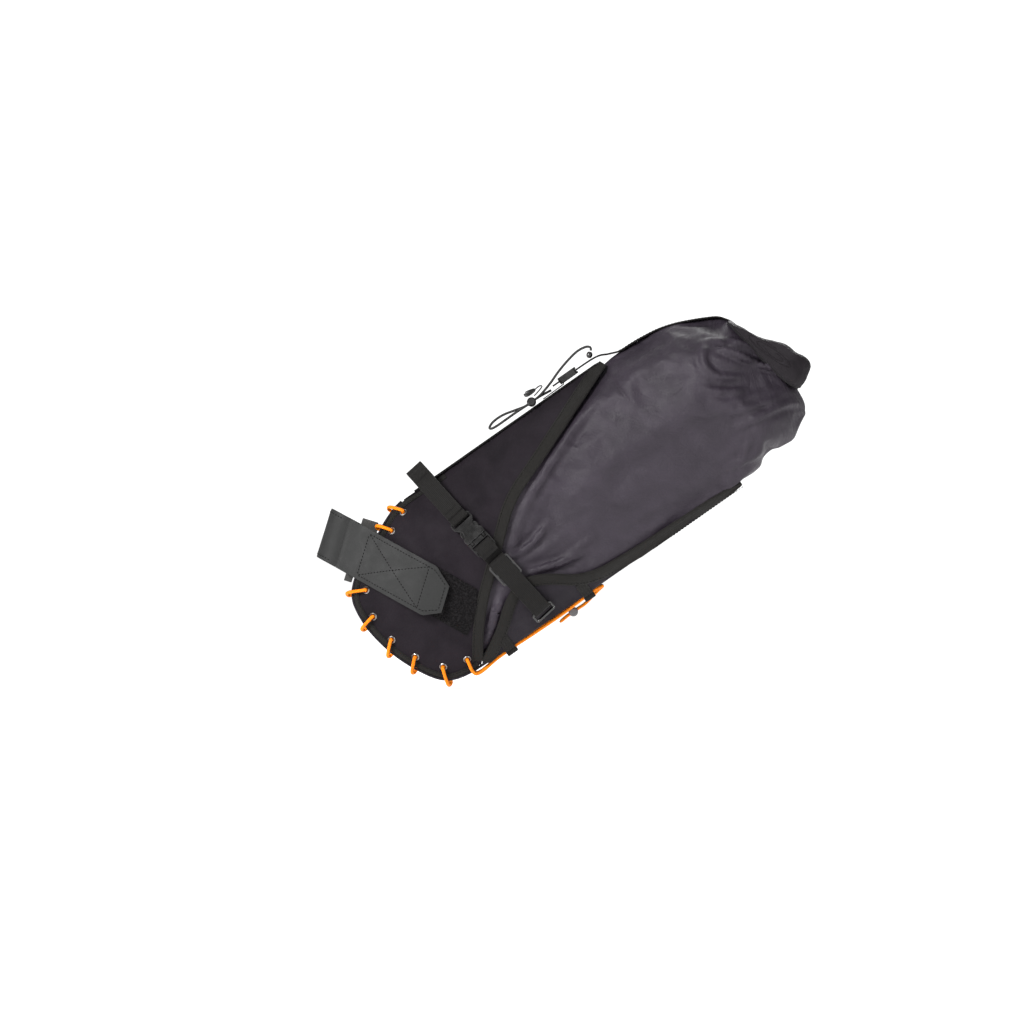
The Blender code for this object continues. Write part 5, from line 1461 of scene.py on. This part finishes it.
def rail_straps():
    """Both rail straps: the webbing through buckle, tri-glide and ring, with its sewn ends."""
    clear = GAP + WEB_T / 2 + 0.1
    for side, word in SIDES:
        seat = hardware_matrix(BUCKLE_AT, BUCKLE_L + MALE_L, BUCKLE_LIFT, side)
        glide = hardware_matrix(GLIDE_AT, GLIDE_L, GLIDE_LIFT, side)
        ring = hardware_matrix(RING_AT, RING_L, RING_LIFT, side)
        wrap_r = math.hypot(BAR / 2, BAR_T / 2) + clear
        rail = Vector((RAIL_A, side * RAIL_Y, RAIL_B))
        down = (on_strap(RAIL_FREE, 3.0, side) - rail).normalized()
        out = Vector((0, side, 0))
        out = (out - down * out.dot(down)).normalized()
        path = [in_frame(seat, -13, -1.3), in_frame(seat, -4, -wrap_r + 0.6)]
        path += around(seat, BAR / 2, 0, wrap_r, -90, 180)
        path += [in_frame(seat, -4, wrap_r - 0.6), in_frame(seat, -13, 1.3)]
        for k in range(17):
            turn = math.radians(60 - 270 * k / 16)
            path.append(rail + down * LOOP_R * -math.sin(turn) + out * LOOP_R * math.cos(turn))
        path.append(rail + down * 20 - out * 1.2)
        line = smooth_route(path, 1.0)
        band(f"rail_strap_{word}", line, STRAP_ACROSS * side, WEB_W, WEB_T, LOOK["webbing"],
             replaces=(f"rail_webbing_{word}",), slot="webbing")
        bar_x = BUCKLE_L + 0.6 + 5.0 + SLOT_L + BAR / 2
        level = math.hypot(BAR / 2, MALE_T / 2) + clear
        foot_path = [in_frame(seat, bar_x + 12, level), in_frame(seat, bar_x + 4, level)]
        foot_path += around(seat, bar_x, 0, level, 90, 180)
        foot_path += [in_frame(seat, bar_x + 9, -level)]
        low = -GLIDE_T / 2 - WEB_T - 2 * clear
        foot_path += [in_frame(glide, 0, low), in_frame(glide, GLIDE_L, low)]
        ring_r = math.hypot(RING_BAR / 2, RING_BAR / 2) + clear
        between = GLIDE_AT + GLIDE_L + 16
        foot_path += [on_strap(between, 3.0, side), in_frame(ring, -5, -2.4)]
        foot_path += around(ring, RING_BAR / 2, 0, ring_r, -90, 180)
        foot_path += [in_frame(ring, -5, 2.4), on_strap(between, 6.4, side)]
        foot_path.append(in_frame(glide, GLIDE_L, GLIDE_T / 2 + clear + 0.4))
        foot_path += around(glide, BAR / 2, 0, math.hypot(BAR / 2, GLIDE_T / 2) + clear, 90, 130, 5)
        band(f"foot_strap_{word}", smooth_route(foot_path, 1.0), STRAP_ACROSS * side, WEB_W, WEB_T,
             LOOK["webbing"], replaces=(f"foot_webbing_{word}",), slot="webbing")
        tacks = [(x, wrap_r + 0.15 - (x + 6.5) * 0.02) for x in (-6.5, -9.0, -11.5)]
        tacks += [(bar_x + x, level + 0.75) for x in (7.6, 8.6, 9.6)]
        above = seat.to_3x3() @ Vector((0, 0, 1))
        bars = [[(in_frame(seat, x, z, y), above) for y in np.linspace(-8.6, 8.6, 9)] for x, z in tacks]
        stitches(f"bar_tacks_{word}", bars, LOOK["thread"], slot="webbing", length=1.6, gap=0.6)


rail_straps()


# --- ridge: webbing, ladder lock's anchor, crest strap; floor loops ---
def ridge():
    """The ridge's sewn webbing, the anchor loop and the crest strap."""
    path = [(a, 0, RIDGE_WEB_B + 0.15 * wave((a, 0, 0), 20.0, 2.0)) for a in range(94, int(MOUTH_A) - 5, 4)]
    band("ridge_tape", path, (0, 1, 0), WEB_W, WEB_T, LOOK["webbing"], crown=0.3,
         replaces=("ridge_webbing",), slot="webbing")
    seams = [[(Vector((a, y, RIDGE_WEB_B + WEB_T / 2 - 0.1)), Vector((0, 0, 1))) for a in range(97, 326, 4)]
             for y in (-8.3, 8.3)]
    stitches("ridge_stitches", seams, LOOK["thread"], slot="webbing")
    seat = Matrix.Translation(Vector((LADDER_AT, 0, CREST_B)) * MM)
    bar_z = -LADDER_T / 2 + (LADDER_T / 2 - WEB_T / 2 - 2 * GAP) / 2
    anchor = [Vector((LADDER_AT - 24, 0, RIDGE_WEB_B + WEB_T + GAP))]
    anchor += around(seat, BAR / 2, bar_z, 1.9 + GAP, -100, 30, 4)
    anchor += around(seat, BAR / 2, bar_z, 1.9 + GAP, -60, 60, 5)
    band("ladder_loop", smooth_route(anchor, 1.2), (0, 1, 0), 19.0, 0.9, LOOK["tape"],
         replaces=("ladder_anchor",), slot="webbing")
    crest = [(LADDER_AT - 8, 0, CREST_B), (MOUTH_A - 6, 0, CREST_B - 0.4), (MOUTH_A + 10, 0, -1.2)]
    for a in (354, 366, 380, 400, 418, 434, 448, 459, 466):
        crest.append((a, 0, min(dry_bag_span(a)[0], CREST_B - 1.6) + WEB_T / 2 + 0.5))
    line = smooth_route(crest, 3.0)
    band("crest_tape", line, (0, 1, 0), WEB_W, WEB_T, LOOK["tape"], body="dry_bag",
         replaces=("crest_strap",), slot="crest")
    rows = []
    for y in (-8.2, 8.2):
        rows.append([(p + Vector((0, y, WEB_T / 2 + 0.05)), Vector((0, 0, 1))) for p in line if p.x > 350])
    stitches("crest_stitches", rows, LOOK["thread"], body="dry_bag", slot="webbing")


ridge()


def floor_loops():
    """The webbing loops under the floor that guide the laces."""
    for side, word in SIDES:
        for n, a in enumerate((82, 181), 1):
            low = BOTTOM_B - PANEL_T - GAP - 0.5
            y = side * (half_width(a, BOTTOM_B) - 7)
            drop = 2 * LACE_R + 1.6
            leg = [skin(a, BOTTOM_B + rise, side, 0.7) for rise in (12, 7, 2.5)]
            path = leg + [(a, y + side * 6.6, low), (a, y + side * 4.2, low - 0.6)]
            path.append((a, y + side * 2.6, low - drop))
            path += [(a, y - side * 2.6, low - drop), (a, y - side * 3.2, low - 0.4), (a, y - side * 7, low)]
            band(f"lace_loop_{word}_{n}", smooth_route(path, 1.2), (1, 0, 0), 12.0, 0.9, LOOK["tape"],
                 replaces=(f"lace_tab_{word}_{n}",), slot="webbing")


floor_loops()

# --- CAD nodes that stay: moulded and metal parts get their finish ---
for name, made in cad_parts.items():
    word = None
    if "buckle" in name or name.startswith(("tri_glide", "strap_ring", "ladder_lock", "ridge_lock")):
        word = "plastic"
    if name.startswith("lace_lock"):
        word = "grey"
    if name.endswith("spring"):
        word = "spring"
    if name == "post_grip_pad":
        word = "pad"
    if word:
        made.data.materials.clear()
        made.data.materials.append(LOOK[word])
